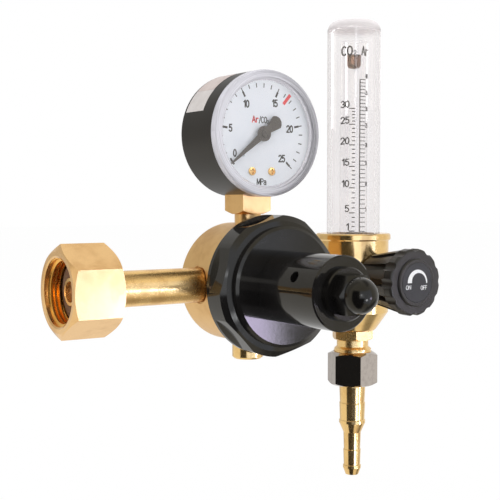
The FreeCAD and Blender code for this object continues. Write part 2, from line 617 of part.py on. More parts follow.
bourdon_tube = body("bourdon_tube", regulator_x, 0, gauge_rise)
bourdon_outline = sketch_on(bourdon_tube, "XY_Plane")
draw(bourdon_outline, box(S.coil_radius - S.coil_depth / 2, S.coil_radius + S.coil_depth / 2,
                          S.coil_shift - S.coil_width / 2, S.coil_shift + S.coil_width / 2))
bourdon_sweep = bourdon_tube.newObject("PartDesign::Revolution", "bourdon_sweep")
bourdon_sweep.Profile = bourdon_outline
bourdon_sweep.ReferenceAxis = (bourdon_outline, ["V_Axis"])
bourdon_sweep.Angle = 278
finish(bourdon_tube, bourdon_sweep, False)
tip_in = S.coil_radius * 0.08716
tip_out = S.coil_radius * 0.99619
link_back = S.coil_width / 2 - S.coil_shift + 0.1
link_front = link_back + S.link_thickness
turn(bourdon_tube, "y", box(0, S.tip_pin, -link_front - 0.2, -link_back + 1.5), x=tip_in, z=tip_out)
bourdon_tube.Placement = FreeCAD.Placement(bourdon_tube.Placement.Base, FreeCAD.Rotation(V(0, 1, 0), 90))

# Movement: two plates on posts, a sector on its own pivot and the pinion on the pointer's arbor.
front_face = S.movement_front + S.movement_plate
rear_face = S.movement_front - S.movement_room
rear_back = rear_face - S.movement_plate
pivot_drop = S.sector_radius + S.pinion_radius + S.mesh_gap
pivot_hole = S.arbor_radius + S.running_gap
plate_box = box(-S.movement_half, S.movement_half, plate_low - gauge_rise, S.movement_top)
for word, low, high in (("front", S.movement_front, front_face), ("back", rear_back, rear_face)):
    plate = body("movement_%s_plate" % word, regulator_x, 0, gauge_rise)
    raise_block(plate, "y", plate_box, low, high)
    turn(plate, "y", box(0, pivot_hole, -high - 1, -low + 1), True)
    turn(plate, "y", box(0, pivot_hole, -high - 1, -low + 1), True, z=-pivot_drop)
for word, side in (("left", -1), ("right", 1)):
    post = body("movement_post_" + word, regulator_x + S.post_half * side, 0, gauge_rise + S.post_rise)
    turn(post, "y", box(0, S.post_radius, -S.movement_front, -rear_face))

pointer_arbor = body("pointer_arbor", regulator_x, 0, gauge_rise)
sector_front = link_back - 0.3
sector_back = sector_front - 1
arbor_front = pointer_back + S.hub_height - 0.3
turn(pointer_arbor, "y", [
    (0, -rear_back - 0.3), (S.arbor_radius, -rear_back - 0.3), (S.arbor_radius, -sector_back + 0.2),
    (S.pinion_radius, -sector_back + 0.2), (S.pinion_radius, -sector_front - 0.2),
    (S.arbor_radius, -sector_front - 0.2), (S.arbor_radius, -arbor_front), (0, -arbor_front)])

gauge_pointer = body("gauge_pointer", regulator_x, 0, gauge_rise)
blade = dial_radius - S.tick_margin
lean = math.radians(218)


def aim(out, side):
    # a point on the pointer: out along the blade and side to its left
    across = math.cos(lean) * out - math.sin(lean) * side
    along = math.sin(lean) * out + math.cos(lean) * side
    return (across, along)


pointer_front = pointer_back + S.pointer_thickness
tail_bend = (Size(3.2, "3.2"),)
raise_block(gauge_pointer, "y", [
    aim(blade, -0.3), aim(blade, 0.3), aim(2.6, 1.4), aim(-2.6, 1.5), aim(-8, 3) + tail_bend, aim(-8, -3),
    aim(-2.6, -1.5), aim(2.6, -1.4)], pointer_back, pointer_front)
hub_front = pointer_back + S.hub_height
turn(gauge_pointer, "y", [
    (0, -pointer_back), (S.hub_radius, -pointer_back), (S.hub_radius, -pointer_front - 0.1),
    (S.hub_radius / 2, -pointer_front - 0.1), (S.hub_radius / 2 - 0.2, -hub_front), (0, -hub_front)])
turn(gauge_pointer, "y", box(0, S.arbor_radius, -arbor_front, -pointer_back + 1), True)

sector_gear = body("sector_gear", regulator_x, 0, gauge_rise - pivot_drop)
fan = [(0, -1.8), (5.8, -1.9), (5.8, 0.4), (2.2, 0.6)]
for angle in (40, 50, 60, 70, 80, 94, 100):
    pair = (math.cos(math.radians(angle)), math.sin(math.radians(angle)))
    fan.append((S.sector_radius * pair[0], S.sector_radius * pair[1]))
fan.append((-1.8, 0))
raise_block(sector_gear, "y", fan, sector_back, sector_front)
turn(sector_gear, "y", box(0, S.arbor_radius, -front_face + 0.3, -rear_back - 0.3))
turn(sector_gear, "y", box(0, 0.4, -sector_front - 1, -sector_back + 1), True, x=S.tail_pin, z=-S.tail_drop)

far_across = tip_out - S.tail_pin
far_along = pivot_drop + S.tail_drop - tip_in
tip_link = body("tip_link", regulator_x + S.tail_pin, 0, gauge_rise - pivot_drop - S.tail_drop)
raise_block(tip_link, "y", [
    (-0.313, -1.453), (far_across + 1.477, far_along - 0.174), (far_across + 0.313, far_along + 1.453),
    (-1.477, 0.174)], link_back, link_front)
turn(tip_link, "y", box(0, 0.35, -link_back - 0.2, -sector_back + 0.4))
turn(tip_link, "y", box(0, S.tip_pin + 0.1, -link_front - 1, -link_back + 1), True,
     x=far_across, z=far_along)

# Nipple between the regulator and the flow meter.
outlet_link = body("outlet_link", regulator_x)
link_start = S.body_radius - S.socket_depth
link_end = S.flow_reach - S.cup_radius + 7
turn(outlet_link, "x", box(link_start, link_end, S.stem_bore, S.stem_radius))

# Flow block: flanged cup with the tube seat above, the needle valve in front and the outlet below.
meter_foot = S.cover_floor - S.meter_seat
gland_back = S.cup_radius - S.gland_length
outlet_top = S.cone_low - 11.4
flow_block = body("flow_block", flow_x)
turn(flow_block, "z", [
    (0, S.flange_top), (S.flange_radius - 0.6, S.flange_top), (S.flange_radius, S.flange_top - 0.6),
    (S.flange_radius, S.flange_low + 0.6), (S.flange_radius - 0.6, S.flange_low),
    (S.cup_radius, S.flange_low), (S.cup_radius, -S.cup_low),
    (S.cup_radius - 5.4, -S.cone_low + 0.7), (S.cup_radius - 6.2, -S.cone_low),
    (0, -S.cone_low)])
turn(flow_block, "z", [
    (0, S.flange_top + 1), (S.cover_radius, S.flange_top + 1), (S.cover_radius, S.cover_floor),
    (S.meter_radius, S.cover_floor), (S.meter_radius, meter_foot), (0, meter_foot)], True)
turn(flow_block, "x", box(-S.cup_radius - 1, 7 - S.cup_radius, 0, S.stem_radius), True)
turn(flow_block, "x", box(6.5 - S.cup_radius, Size(0.5, "0.5"), 0, 1.5), True, y=Size(2.5, "2.5"))
turn(flow_block, "z", box(0, 1.5, 0, meter_foot + 0.5), True, y=Size(2.5, "2.5"))
turn(flow_block, "z", box(0, 1.3, 0, S.cover_floor + 0.5), True, y=-S.meter_radius - 2)
turn(flow_block, "y", [
    (0, -S.cup_radius - 1), (S.gland_radius, -S.cup_radius - 1), (S.gland_radius, -gland_back),
    (S.needle_bore, -gland_back), (S.needle_bore, -S.orifice_forward),
    (S.orifice_radius, -S.orifice_forward), (S.orifice_radius, -S.orifice_forward + 2.8),
    (0, -S.orifice_forward + 2.8)], True)
turn(flow_block, "z", box(0, 1.2, -outlet_top - 0.5, 0.8), True, y=-S.orifice_forward + 2.8)
turn(flow_block, "z", box(0, S.gland_radius, -S.cone_low - 1, -outlet_top), True)

# Cover tube, its seal, the printed metering tube with its two stops, and the float.
cover_foot = S.cover_floor + S.cover_seal
cover_bore = S.cover_radius - S.cover_wall
cover_tube = body("cover_tube", flow_x)
turn(cover_tube, "z", [
    (cover_bore, cover_foot), (S.cover_radius, cover_foot),
    (S.cover_radius, S.cover_top - 4.5, Size(4.5, "4.5")), (S.cover_radius - 4.5, S.cover_top),
    (0, S.cover_top), (0, S.cover_top - 3),
    (cover_bore - 2.5, S.cover_top - 3, Size(-2.5, "(0 - 2.5)")), (cover_bore, S.cover_top - 5.5)])

cover_seal = body("cover_seal", flow_x)
seal_half = S.cover_seal / 2
turn(cover_seal, "z", None, circle=(S.cover_radius - seal_half - 0.1, S.cover_floor + seal_half, seal_half))

metering_tube = body("metering_tube", flow_x)
turn(metering_tube, "z", [
    (S.bore_low, meter_foot), (S.meter_radius, meter_foot), (S.meter_radius, S.meter_top),
    (S.bore_high, S.meter_top)])

float_stop = body("float_stop", flow_x)
turn(float_stop, "z", box(1, S.bore_low, meter_foot, meter_foot + 2))

bore_rise = (S.bore_high - S.bore_low) / (S.meter_top - meter_foot)
guard_radius = S.bore_low + bore_rise * (S.guard_low - meter_foot)
float_guard = body("float_guard", flow_x)
turn(float_guard, "z", [
    (1, S.guard_low), (guard_radius, S.guard_low),
    (guard_radius + bore_rise * S.guard_height, S.guard_low + S.guard_height),
    (1, S.guard_low + S.guard_height)])

float_rest = meter_foot + 2 + S.float_radius * 0.93
float_ball = body("float_ball", flow_x, 0, float_rest)
turn(float_ball, "z", [
    (0, -S.float_radius, S.float_radius), (S.float_radius, 0, S.float_radius), (0, S.float_radius)])

# Needle valve: screwed needle, gland nut with packing, fluted knob with its screw and label disc.
needle_tip = S.orifice_forward - 1.8
thread_back = S.orifice_forward + 2.3
thread_front = gland_back - 1.8
rod_front = S.rim_back + 0.5
valve_needle = body("valve_needle", flow_x)
turn(valve_needle, "y", [
    (0, -needle_tip), (S.orifice_radius * 0.5, -needle_tip), (S.orifice_radius * 1.48, -thread_back),
    (S.needle_bore - S.running_gap, -thread_back), (S.needle_bore - S.running_gap, -thread_front),
    (S.rod_radius, -thread_front), (S.rod_radius, -rod_front), (1.3, -rod_front), (1.3, -rod_front + 8),
    (0, -rod_front + 8)])

gland_front = S.cup_radius + S.gland_height
gland_nut = body("gland_nut", flow_x)
raise_block(gland_nut, "y", hexagon(S.gland_flats, 0), S.cup_radius, gland_front)
bevel_hexagon(gland_nut, "y", S.gland_flats, -gland_front, 1, 0.3)
turn(gland_nut, "y", box(0, S.gland_radius, -S.cup_radius - 1, -gland_back))
turn(gland_nut, "y", [
    (0, -gland_front - 1), (S.rod_radius + 1.5, -gland_front - 1), (S.rod_radius + 1.5, -gland_front + 2),
    (S.rod_radius + S.running_gap, -gland_front + 2), (S.rod_radius + S.running_gap, -gland_back + 1),
    (0, -gland_back + 1)], True)

stem_packing = body("stem_packing", flow_x)
packing_inside = S.rod_radius + S.running_gap
turn(stem_packing, "y", box(packing_inside, S.rod_radius + 1.5, -gland_front + 0.3, -gland_front + 2))

cavity_radius = S.knob_back_radius - 1.5
label_back = S.knob_front - 1
ring_back = S.knob_front - S.ring_height
valve_knob = body("valve_knob", flow_x)
turn(valve_knob, "y", [
    (cavity_radius, -S.knob_back), (S.knob_back_radius - 0.4, -S.knob_back),
    (S.knob_back_radius, -S.knob_back - 0.4),
    (S.knob_radius - 0.4, -S.rim_back), (S.knob_radius, -S.rim_back - 0.6),
    (S.knob_radius, -ring_back + 1.2, Size(-1.2, "(0 - 1.2)")), (S.knob_radius - 1.2, -ring_back),
    (S.knob_ring, -ring_back), (S.knob_ring, -S.knob_front + 0.5), (S.knob_ring - 0.5, -S.knob_front),
    (S.label_radius, -S.knob_front), (S.label_radius, -label_back),
    (3.2, -label_back), (3.2, -label_back + 2.5), (1.6, -label_back + 2.5), (1.6, -rod_front),
    (S.rod_radius + S.running_gap, -rod_front), (S.rod_radius + S.running_gap, -gland_front - 0.8),
    (S.rod_radius + 2.3, -gland_front - 0.8), (S.rod_radius + 2.3, -S.knob_back - 10),
    (cavity_radius, -S.knob_back - 10)])
flute = raise_block(valve_knob, "y", box(S.knob_back_radius - 0.5, S.knob_radius + 2, -1.5, 1.5),
                    S.knob_back - 1, S.rim_back - 1.2, True)
ring_of(valve_knob, flute, 12)
scallop_sketch = sketch_on(valve_knob, "XZ_Plane", 0, 0, S.rim_back - 3)
draw_circle(scallop_sketch, S.knob_radius + 1.4, 0, Size(2.6, "2.6"))
scallop = valve_knob.newObject("PartDesign::Pocket", "scallop")
scallop.Profile = scallop_sketch
scallop.Reversed = True
scallop.Length = 12
scallop.setExpression("Length", (S.knob_front - S.rim_back + 5).text)
finish(valve_knob, scallop, True)
ring_of(valve_knob, scallop, 12)

knob_screw = body("knob_screw", flow_x)
turn(knob_screw, "y", [
    (0, -rod_front + 6), (1.25, -rod_front + 6), (1.25, -label_back + 2.5), (2.8, -label_back + 2.5),
    (2.8, -label_back + 0.7), (0, -label_back + 0.7)])

knob_label = body("knob_label", flow_x)
turn(knob_label, "y", [
    (0, -label_back), (S.label_radius, -label_back),
    (S.label_radius, -label_back - S.label_thickness + 0.2),
    (S.label_radius - 0.2, -label_back - S.label_thickness), (0, -label_back - S.label_thickness)])

# Outlet: screwed-in fitting, swivel nut on its thread, and the stepped hose tail that the nut holds.
hex_low = S.cone_low + S.fitting_height
outlet_fitting = body("outlet_fitting", flow_x)
raise_block(outlet_fitting, "z", hexagon(S.fitting_flats, 0), -hex_low, -S.cone_low)
bevel_hexagon(outlet_fitting, "z", S.fitting_flats, -hex_low, 1, 0.2)
turn(outlet_fitting, "z", [
    (0, -outlet_top - 1.5), (S.gland_radius, -outlet_top - 1.5), (S.gland_radius, -S.cone_low - 1),
    (S.neck_radius, -S.cone_low - 1), (S.neck_radius, -hex_low - 3), (S.outlet_thread, -hex_low - 4),
    (S.outlet_thread, -S.fitting_low), (0, -S.fitting_low)])
turn(outlet_fitting, "z", box(0, S.stem_bore, -S.fitting_low - 1, -outlet_top), True)

head_low = S.fitting_low + S.tail_head_height
swivel_floor = head_low + S.turning_gap
outlet_nut = body("outlet_nut", flow_x)
raise_block(outlet_nut, "z", hexagon(S.swivel_flats, 9), -S.swivel_low, -S.swivel_top)
bevel_hexagon(outlet_nut, "z", S.swivel_flats, -S.swivel_low, 1)
bevel_hexagon(outlet_nut, "z", S.swivel_flats, -S.swivel_top, -1, 0.9)
turn(outlet_nut, "z", [
    (0, -S.swivel_top + 1), (S.outlet_thread + S.turning_gap, -S.swivel_top + 1),
    (S.outlet_thread + S.turning_gap, -swivel_floor), (S.large_barb + S.turning_gap, -swivel_floor),
    (S.large_barb + S.turning_gap, -S.swivel_low - 1), (0, -S.swivel_low - 1)], True)

first_bite = S.large_barb - S.barb_bite
last_bite = S.small_barb - S.barb_bite
barb_top = S.swivel_low + 8.6
barb_mid = barb_top + 8
barb_neck = barb_mid + 5.7
barb_next = barb_neck + 8
barb_last = barb_next + 7.3
hose_tail = body("hose_tail", flow_x)
turn(hose_tail, "z", [
    (S.tail_bore, -S.fitting_low), (S.tail_head, -S.fitting_low), (S.tail_head, -head_low),
    (S.large_barb - 0.05, -head_low), (S.large_barb - 0.05, -S.swivel_low - 1),
    (first_bite, -barb_top + 0.3), (S.large_barb - 0.1, -barb_top), (first_bite, -barb_mid + 0.3),
    (S.large_barb, -barb_mid),
    (S.large_barb, -barb_mid - 1.2), (S.small_barb - 0.1, -barb_neck), (last_bite, -barb_next + 0.3),
    (S.small_barb - 0.1, -barb_next), (last_bite, -barb_last + 0.3), (S.small_barb, -barb_last),
    (S.small_barb, -barb_last - 1.2), (S.small_barb - 1.1, -S.tail_low), (S.tail_bore, -S.tail_low)])

doc.recompute()
for item in doc.Objects:
    if "Invalid" in item.State or "Error" in item.State:
        raise ValueError("not solved: " + item.Name)

os.makedirs("parts", exist_ok=True)
for item in parts:
    shape = item.Shape
    if not shape.isValid() or len(shape.Solids) != 1:
        raise ValueError("%s has %d solids" % (item.Label, len(shape.Solids)))
    shape.exportStep("parts/%s.step" % item.Label)
print("wrote", len(parts), "parts")
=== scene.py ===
import math

import bpy
import numpy as np
from mathutils import Matrix, Vector


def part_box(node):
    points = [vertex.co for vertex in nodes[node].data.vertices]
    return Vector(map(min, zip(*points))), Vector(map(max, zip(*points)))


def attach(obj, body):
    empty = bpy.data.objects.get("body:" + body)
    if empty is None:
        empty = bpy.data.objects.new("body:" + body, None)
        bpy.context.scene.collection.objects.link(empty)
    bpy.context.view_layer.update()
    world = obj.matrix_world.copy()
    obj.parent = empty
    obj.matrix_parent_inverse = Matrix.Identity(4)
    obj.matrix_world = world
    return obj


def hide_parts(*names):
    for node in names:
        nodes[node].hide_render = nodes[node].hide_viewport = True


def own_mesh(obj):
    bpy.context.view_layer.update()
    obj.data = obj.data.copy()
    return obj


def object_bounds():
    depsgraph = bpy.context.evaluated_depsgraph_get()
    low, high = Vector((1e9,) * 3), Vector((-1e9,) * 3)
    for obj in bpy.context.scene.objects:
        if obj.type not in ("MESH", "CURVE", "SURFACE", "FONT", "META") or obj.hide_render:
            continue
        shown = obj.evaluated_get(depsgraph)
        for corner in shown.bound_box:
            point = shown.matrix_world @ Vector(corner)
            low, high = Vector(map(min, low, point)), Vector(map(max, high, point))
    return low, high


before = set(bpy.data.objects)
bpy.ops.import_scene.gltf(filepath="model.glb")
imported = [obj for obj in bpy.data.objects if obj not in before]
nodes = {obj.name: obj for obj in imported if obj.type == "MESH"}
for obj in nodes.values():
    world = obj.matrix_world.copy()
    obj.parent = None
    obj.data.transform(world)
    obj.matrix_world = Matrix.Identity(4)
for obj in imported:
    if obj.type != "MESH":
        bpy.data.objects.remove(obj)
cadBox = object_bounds()
mm = 0.001
print("frame loaded:", len(nodes), "solids")


def middleOf(name):
    # the centre of a node's box, in millimetres
    low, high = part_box(name)
    return (np.array(low) + np.array(high)) / 2 / mm


regulatorAxis = middleOf("regulator_body")[0]
flowAxis = middleOf("cover_tube")[0]
gaugeRise = middleOf("gauge_case")[2]


def paint(red, green, blue):
    # screen colour 0 to 255 turned into the linear colour that a shader takes
    shares = np.array([red, green, blue]) / 255
    low = shares / 12.92
    high = ((shares + 0.055) / 1.055) ** 2.4
    return (*np.where(shares <= 0.04045, low, high).tolist(), 1.0)


# shader maths: a socket that can be added, multiplied and so on
class Wire:
    def __init__(self, tree, socket=None):
        self.tree = tree
        self.socket = socket

    def add(self, kind, settings=None, sockets=None, out=0):
        # a new node: its settings first, then the values or links of its sockets
        made = self.tree.nodes.new(kind)
        for key, value in (settings or {}).items():
            setattr(made, key, value)
        for key, value in (sockets or {}).items():
            if isinstance(value, Wire):
                self.tree.links.new(value.socket, made.inputs[key])
            else:
                made.inputs[key].default_value = value
        return Wire(self.tree, made.outputs[out] if made.outputs else None)

    def maths(self, operation, first, second):
        return self.add("ShaderNodeMath", {"operation": operation}, {0: first, 1: second})

    def __add__(self, other):
        return self.maths("ADD", self, other)

    def __radd__(self, other):
        return self.maths("ADD", other, self)

    def __sub__(self, other):
        return self.maths("SUBTRACT", self, other)

    def __rsub__(self, other):
        return self.maths("SUBTRACT", other, self)

    def __mul__(self, other):
        return self.maths("MULTIPLY", self, other)

    def __rmul__(self, other):
        return self.maths("MULTIPLY", other, self)

    def __pow__(self, other):
        return self.maths("POWER", self, other)

    def split(self):
        # the three coordinates of a vector
        made = self.add("ShaderNodeSeparateXYZ", {}, {0: self})
        return [Wire(self.tree, socket) for socket in made.socket.node.outputs]

    def larger(self, other):
        return self.maths("MAXIMUM", self, other)

    def rise(self, low, high):
        # smooth step from 0 at low to 1 at high
        return self.add("ShaderNodeMapRange", {"interpolation_type": "SMOOTHSTEP"},
                        {"Value": self, "From Min": low, "From Max": high})

    def band(self, low, high, soft):
        # 1 between low and high, fading to 0 over soft on either side
        return self.rise(low - soft, low + soft) * (1 - self.rise(high - soft, high + soft))

    def noise(self, at, scale, detail, rough):
        return self.add("ShaderNodeTexNoise", {}, {"Vector": at, "Scale": scale, "Detail": detail,
                                                   "Roughness": rough})

    def blend(self, factor, first, second):
        return self.add("ShaderNodeMix", {"data_type": "RGBA"}, {0: factor, 6: first, 7: second}, 2)


def newFinish(name):
    # an empty material, its node tree and the Object coordinates that its patterns read
    finish = bpy.data.materials.new(name)
    finish.use_nodes = True
    finish.node_tree.nodes.clear()
    tree = Wire(finish.node_tree)
    return finish, tree, tree.add("ShaderNodeTexCoord", out="Object")


def closeFinish(tree, shader, inside=None):
    # the surface, and what fills the inside where there is any
    ends = {"Surface": shader}
    if inside:
        ends["Volume"] = inside
    tree.add("ShaderNodeOutputMaterial", {}, ends)


def brassFinish(name, look):
    # turned brass, or another metal by its colours: cloudy tarnish, tool lines along one axis, fingered roughness
    finish, tree, at = newFinish(name)
    cloud = tree.noise(at, look["cloudScale"], detail=4, rough=0.6)
    fleck = tree.noise(at, look["fleckScale"], detail=3, rough=0.7)
    tarnish = cloud.rise(*look["tarnishSpan"]) * look["tarnish"]
    along = tree.add("ShaderNodeVectorMath", {"operation": "DOT_PRODUCT"}, {0: at, 1: look["axis"]}, "Value")
    if "burn" in look:  # heat stain over one stretch of the axis
        low, high, soft = look["burn"]
        tarnish = tarnish.larger(along.band(low, high, soft) * fleck.rise(*look["burnSpan"]))
    colour = tree.blend(tarnish, paint(*look["clean"]), paint(*look["stained"]))
    lines = tree.add("ShaderNodeTexNoise", {"noise_dimensions": "1D"},
                     {"W": along, "Scale": look["lineScale"], "Detail": 2})
    rough = look["rough"] + cloud * look["roughSpread"] + fleck * look["roughSpread"] * look["fleckShare"]
    bump = tree.add("ShaderNodeBump", {}, {"Height": lines * look["lineDepth"] + fleck * look["fleckDepth"],
                                           "Distance": look["bumpDepth"], "Strength": look["bump"]})
    shader = tree.add("ShaderNodeBsdfPrincipled", {}, {
        "Base Color": colour, "Metallic": look["metal"], "Roughness": rough, "Normal": bump})
    closeFinish(tree, shader)
    return finish


def moulding(name, look):
    # paint, plastic, rubber, film or ink: faint cloud in the colour, fine skin in the bump
    finish, tree, at = newFinish(name)
    cloud = tree.noise(at, look["cloudScale"], detail=4, rough=0.6)
    skin = tree.noise(at, look["skinScale"], detail=2, rough=0.5)
    colour = tree.blend(cloud.rise(*look["cloudSpan"]), paint(*look["dark"]), paint(*look["light"]))
    rough = look["rough"] + (cloud - 0.5) * look["roughSpread"]
    bump = tree.add("ShaderNodeBump", {}, {"Height": skin, "Distance": look["bumpDepth"], "Strength": look["bump"]})
    shader = tree.add("ShaderNodeBsdfPrincipled", {}, {
        "Base Color": colour, "Roughness": rough, "Normal": bump, "IOR": look["ior"],
        "Specular IOR Level": look["gloss"], "Specular Tint": look["glossTint"]})
    closeFinish(tree, shader)
    return finish


def clearPlastic(name, look):
    # clear plastic: a little tint and smear, a rim about an axis along Y painted pale (painted light), a closed end
    # painted pale (painted light), and lamp rays that pass straight on to what is behind
    finish, tree, at = newFinish(name)
    smear = tree.noise(at, look["smearScale"], detail=3, rough=0.6)
    colour = tree.blend(smear, paint(*look["clean"]), paint(*look["tinted"]))
    rough = look["rough"] + smear * look["roughSpread"]
    body = tree.add("ShaderNodeBsdfPrincipled", {}, {
        "Base Color": colour, "Roughness": rough, "Transmission Weight": 1.0, "IOR": look["ior"],
        "Specular Tint": look["glossTint"]})
    if "rim" in look:  # painted light: a pale diffuse layer from one radius to another, uneven round the rim
        rim = look["rim"]
        centre = (regulatorAxis * mm, 0, gaugeRise * mm)
        off = tree.add("ShaderNodeVectorMath", {"operation": "SUBTRACT"}, {0: at, 1: centre})
        across, _, rise = off.split()
        reach = (across * across + rise * rise) ** 0.5
        bearing = tree.add("ShaderNodeMath", {"operation": "ARCTAN2"}, {0: rise, 1: across})
        streak = tree.add("ShaderNodeTexNoise", {"noise_dimensions": "1D"},
                          {"W": bearing + reach * rim["streakTwist"], "Scale": rim["streakScale"], "Detail": 2})
        facing = tree.add("ShaderNodeMath", {"operation": "COSINE"}, {0: bearing - rim["facing"]})
        facing = facing * 0.5 + 0.5  # 1 at the bearing where the painted rim light is most, 0 across from it
        share = rim["least"] + facing * (rim["most"] - rim["least"]) + (streak - 0.5) * rim["streak"]
        rimLightShare = reach.rise(rim["from"], rim["to"]) * share
        rimLightLayer = tree.add("ShaderNodeBsdfDiffuse", {}, {"Color": paint(*rim["colour"])})
        body = tree.add("ShaderNodeMixShader", {}, {0: rimLightShare, 1: body, 2: rimLightLayer})
    if "crown" in look:  # the thick closed end is painted pale: painted light, a pale diffuse layer that grows towards the top
        crown = look["crown"]
        rise = at.split()[2]
        endLightLayer = tree.add("ShaderNodeBsdfDiffuse", {}, {"Color": paint(*crown["colour"])})
        share = rise.rise(crown["from"], crown["to"]) * crown["share"] + smear * crown["smear"]
        body = tree.add("ShaderNodeMixShader", {}, {0: share, 1: body, 2: endLightLayer})
    passing = tree.add("ShaderNodeBsdfTransparent", {}, {"Color": paint(*look["shade"])})
    shadow = tree.add("ShaderNodeLightPath", out="Is Shadow Ray")
    spread = tree.add("ShaderNodeLightPath", out="Is Diffuse Ray")
    inside = None
    if "density" in look:
        inside = tree.add("ShaderNodeVolumeAbsorption", {}, {"Color": paint(*look["depth"]),
                                                             "Density": look["density"]})
    shader = tree.add("ShaderNodeMixShader", {}, {0: shadow.larger(spread), 1: body, 2: passing})
    closeFinish(tree, shader, inside)
    return finish


brassLook = {
    "clean": (238, 200, 132), "stained": (196, 144, 78), "tarnish": 0.5, "tarnishSpan": (0.42, 0.72),
    "burnSpan": (0.32, 0.62), "cloudScale": 70, "fleckScale": 900, "rough": 0.14, "roughSpread": 0.10,
    "fleckShare": 0.5, "axis": (0, 0, 1), "lineScale": 5000, "lineDepth": 0.6, "fleckDepth": 0.5, "bump": 0.12,
    "bumpDepth": 0.00004, "metal": 0.93,
}
brassNut = brassFinish("brass_nut", {**brassLook, "clean": (238, 193, 130), "axis": (1, 0, 0), "rough": 0.12,
                                     "roughSpread": 0.08, "fleckDepth": 1.0, "bump": 0.14})
stemBurn = (0.056, 0.068, 0.007)  # from, to and softness along the stem
brassStem = brassFinish("brass_stem", {**brassLook, "clean": (244, 200, 127), "stained": (176, 122, 58),
                                       "axis": (1, 0, 0), "rough": 0.18, "roughSpread": 0.12, "tarnish": 0.4,
                                       "cloudScale": 160, "fleckScale": 1300, "bump": 0.16, "burn": stemBurn})
brassBody = brassFinish("brass_body", {**brassLook, "clean": (228, 186, 122), "stained": (190, 140, 78),
                                       "axis": (0, 1, 0), "rough": 0.30, "roughSpread": 0.14, "bump": 0.2})
brassPolished = brassFinish("brass_polished", {**brassLook, "rough": 0.09, "roughSpread": 0.07, "bump": 0.06})
brassFitting = brassFinish("brass_fitting", {**brassLook, "rough": 0.2, "roughSpread": 0.1, "bump": 0.12})
# brighter, more orange brass on the thread inside the inlet nut's bore: painted light that lifts the bore
brassBoreLit = brassFinish("brass_bore_lit", {**brassLook, "clean": (255, 198, 98), "stained": (222, 146, 60),
                                       "rough": 0.18, "axis": (1, 0, 0)})
# the float guard's brass is painted dark brown: painted shade for the guard inside the tube
brassGuardShaded = brassFinish("brass_guard_shaded", {**brassLook, "clean": (122, 90, 72), "stained": (74, 48, 38),
                                         "rough": 0.1})
brassTail = brassFinish("brass_tail", {**brassLook, "rough": 0.08, "roughSpread": 0.08, "bump": 0.12})
brassSquare = brassFinish("brass_square", {**brassLook, "clean": (237, 190, 122), "rough": 0.22,
                                           "fleckDepth": 1.2, "bump": 0.2})
# the float stop's brass is painted dark brown: painted shade inside the tube
brassStopShaded = brassFinish("brass_stop_shaded", {**brassLook, "clean": (128, 84, 56), "stained": (84, 50, 34), "rough": 0.3})
chromeNut = brassFinish("chrome_nut", {
    **brassLook, "clean": (186, 177, 168), "stained": (162, 152, 144), "cloudScale": 420, "rough": 0.06,
    "roughSpread": 0.06, "metal": 1.0})
steelParts = brassFinish("steel_parts", {
    **brassLook, "clean": (190, 190, 192), "stained": (150, 148, 146), "rough": 0.25, "axis": (0, 1, 0)})
bronzeFilter = brassFinish("bronze_filter", {
    **brassLook, "clean": (190, 140, 92), "stained": (120, 84, 52), "rough": 0.5, "fleckScale": 2600,
    "fleckDepth": 3.0, "bump": 0.9})

blackLook = {
    "dark": (20, 19, 19), "light": (27, 26, 26), "cloudScale": 90, "cloudSpan": (0.3, 0.75), "skinScale": 1400,
    "rough": 0.2, "roughSpread": 0.08, "bump": 0.10, "bumpDepth": 0.00005, "ior": 1.5, "gloss": 0.5,
    "glossTint": (1.0, 0.89, 0.64, 1),
}
bonnetPaint = moulding("bonnet_paint", {**blackLook, "rough": 0.07, "bump": 0.07, "skinScale": 700, "gloss": 0.4})
capGloss = moulding("cap_gloss", {**blackLook, "dark": (10, 9, 9), "light": (15, 14, 14), "rough": 0.15,
                                  "bump": 0.05, "gloss": 0.38})
knobBlack = moulding("knob_black", {**blackLook, "dark": (30, 29, 29), "light": (40, 39, 39), "rough": 0.36,
                                    "bump": 0.22, "skinScale": 2600, "gloss": 0.45})
labelBlack = moulding("label_black", {**blackLook, "dark": (52, 52, 54), "light": (60, 60, 62), "rough": 0.42,
                                      "bump": 0.08, "gloss": 0.25})
caseBlack = moulding("case_black", {**blackLook, "dark": (18, 16, 16), "light": (25, 22, 21), "rough": 0.36,
                                    "bump": 0.16, "gloss": 0.34})
pointerPaint = moulding("pointer_paint", {**blackLook, "dark": (70, 67, 66), "light": (82, 79, 78),
                                          "rough": 0.5})
sealBlack = moulding("seal_black", {**blackLook, "dark": (26, 25, 24), "light": (40, 38, 37), "rough": 0.62,
                                    "bump": 0.3})
sealGrey = moulding("seal_grey", {**blackLook, "dark": (118, 90, 70), "light": (140, 108, 86), "rough": 0.55,
                                  "bump": 0.3})
floatBlack = moulding("float_black", {**blackLook, "rough": 0.15})
dialWhite = moulding("dial_white", {**blackLook, "dark": (226, 234, 242), "light": (236, 242, 248),
                                    "rough": 0.42, "bump": 0.05, "cloudScale": 40})
stickerFilm = moulding("sticker_film", {**blackLook, "dark": (192, 186, 184), "light": (206, 201, 199),
                                        "rough": 0.5, "bump": 0.1, "cloudScale": 130})
stickerPink = moulding("sticker_pink", {**blackLook, "dark": (186, 172, 168), "light": (198, 186, 182),
                                        "rough": 0.5, "bump": 0.1, "cloudScale": 130})
inkBlack = moulding("ink_black", {**blackLook, "dark": (30, 30, 33), "light": (48, 48, 52), "rough": 0.5,
                                  "cloudScale": 900})
inkRed = moulding("ink_red", {**blackLook, "dark": (222, 66, 74), "light": (236, 96, 100), "rough": 0.5,
                              "cloudScale": 900})
inkWhite = moulding("ink_white", {**blackLook, "dark": (226, 226, 228), "light": (242, 242, 242), "rough": 0.5,
                                  "cloudScale": 900})

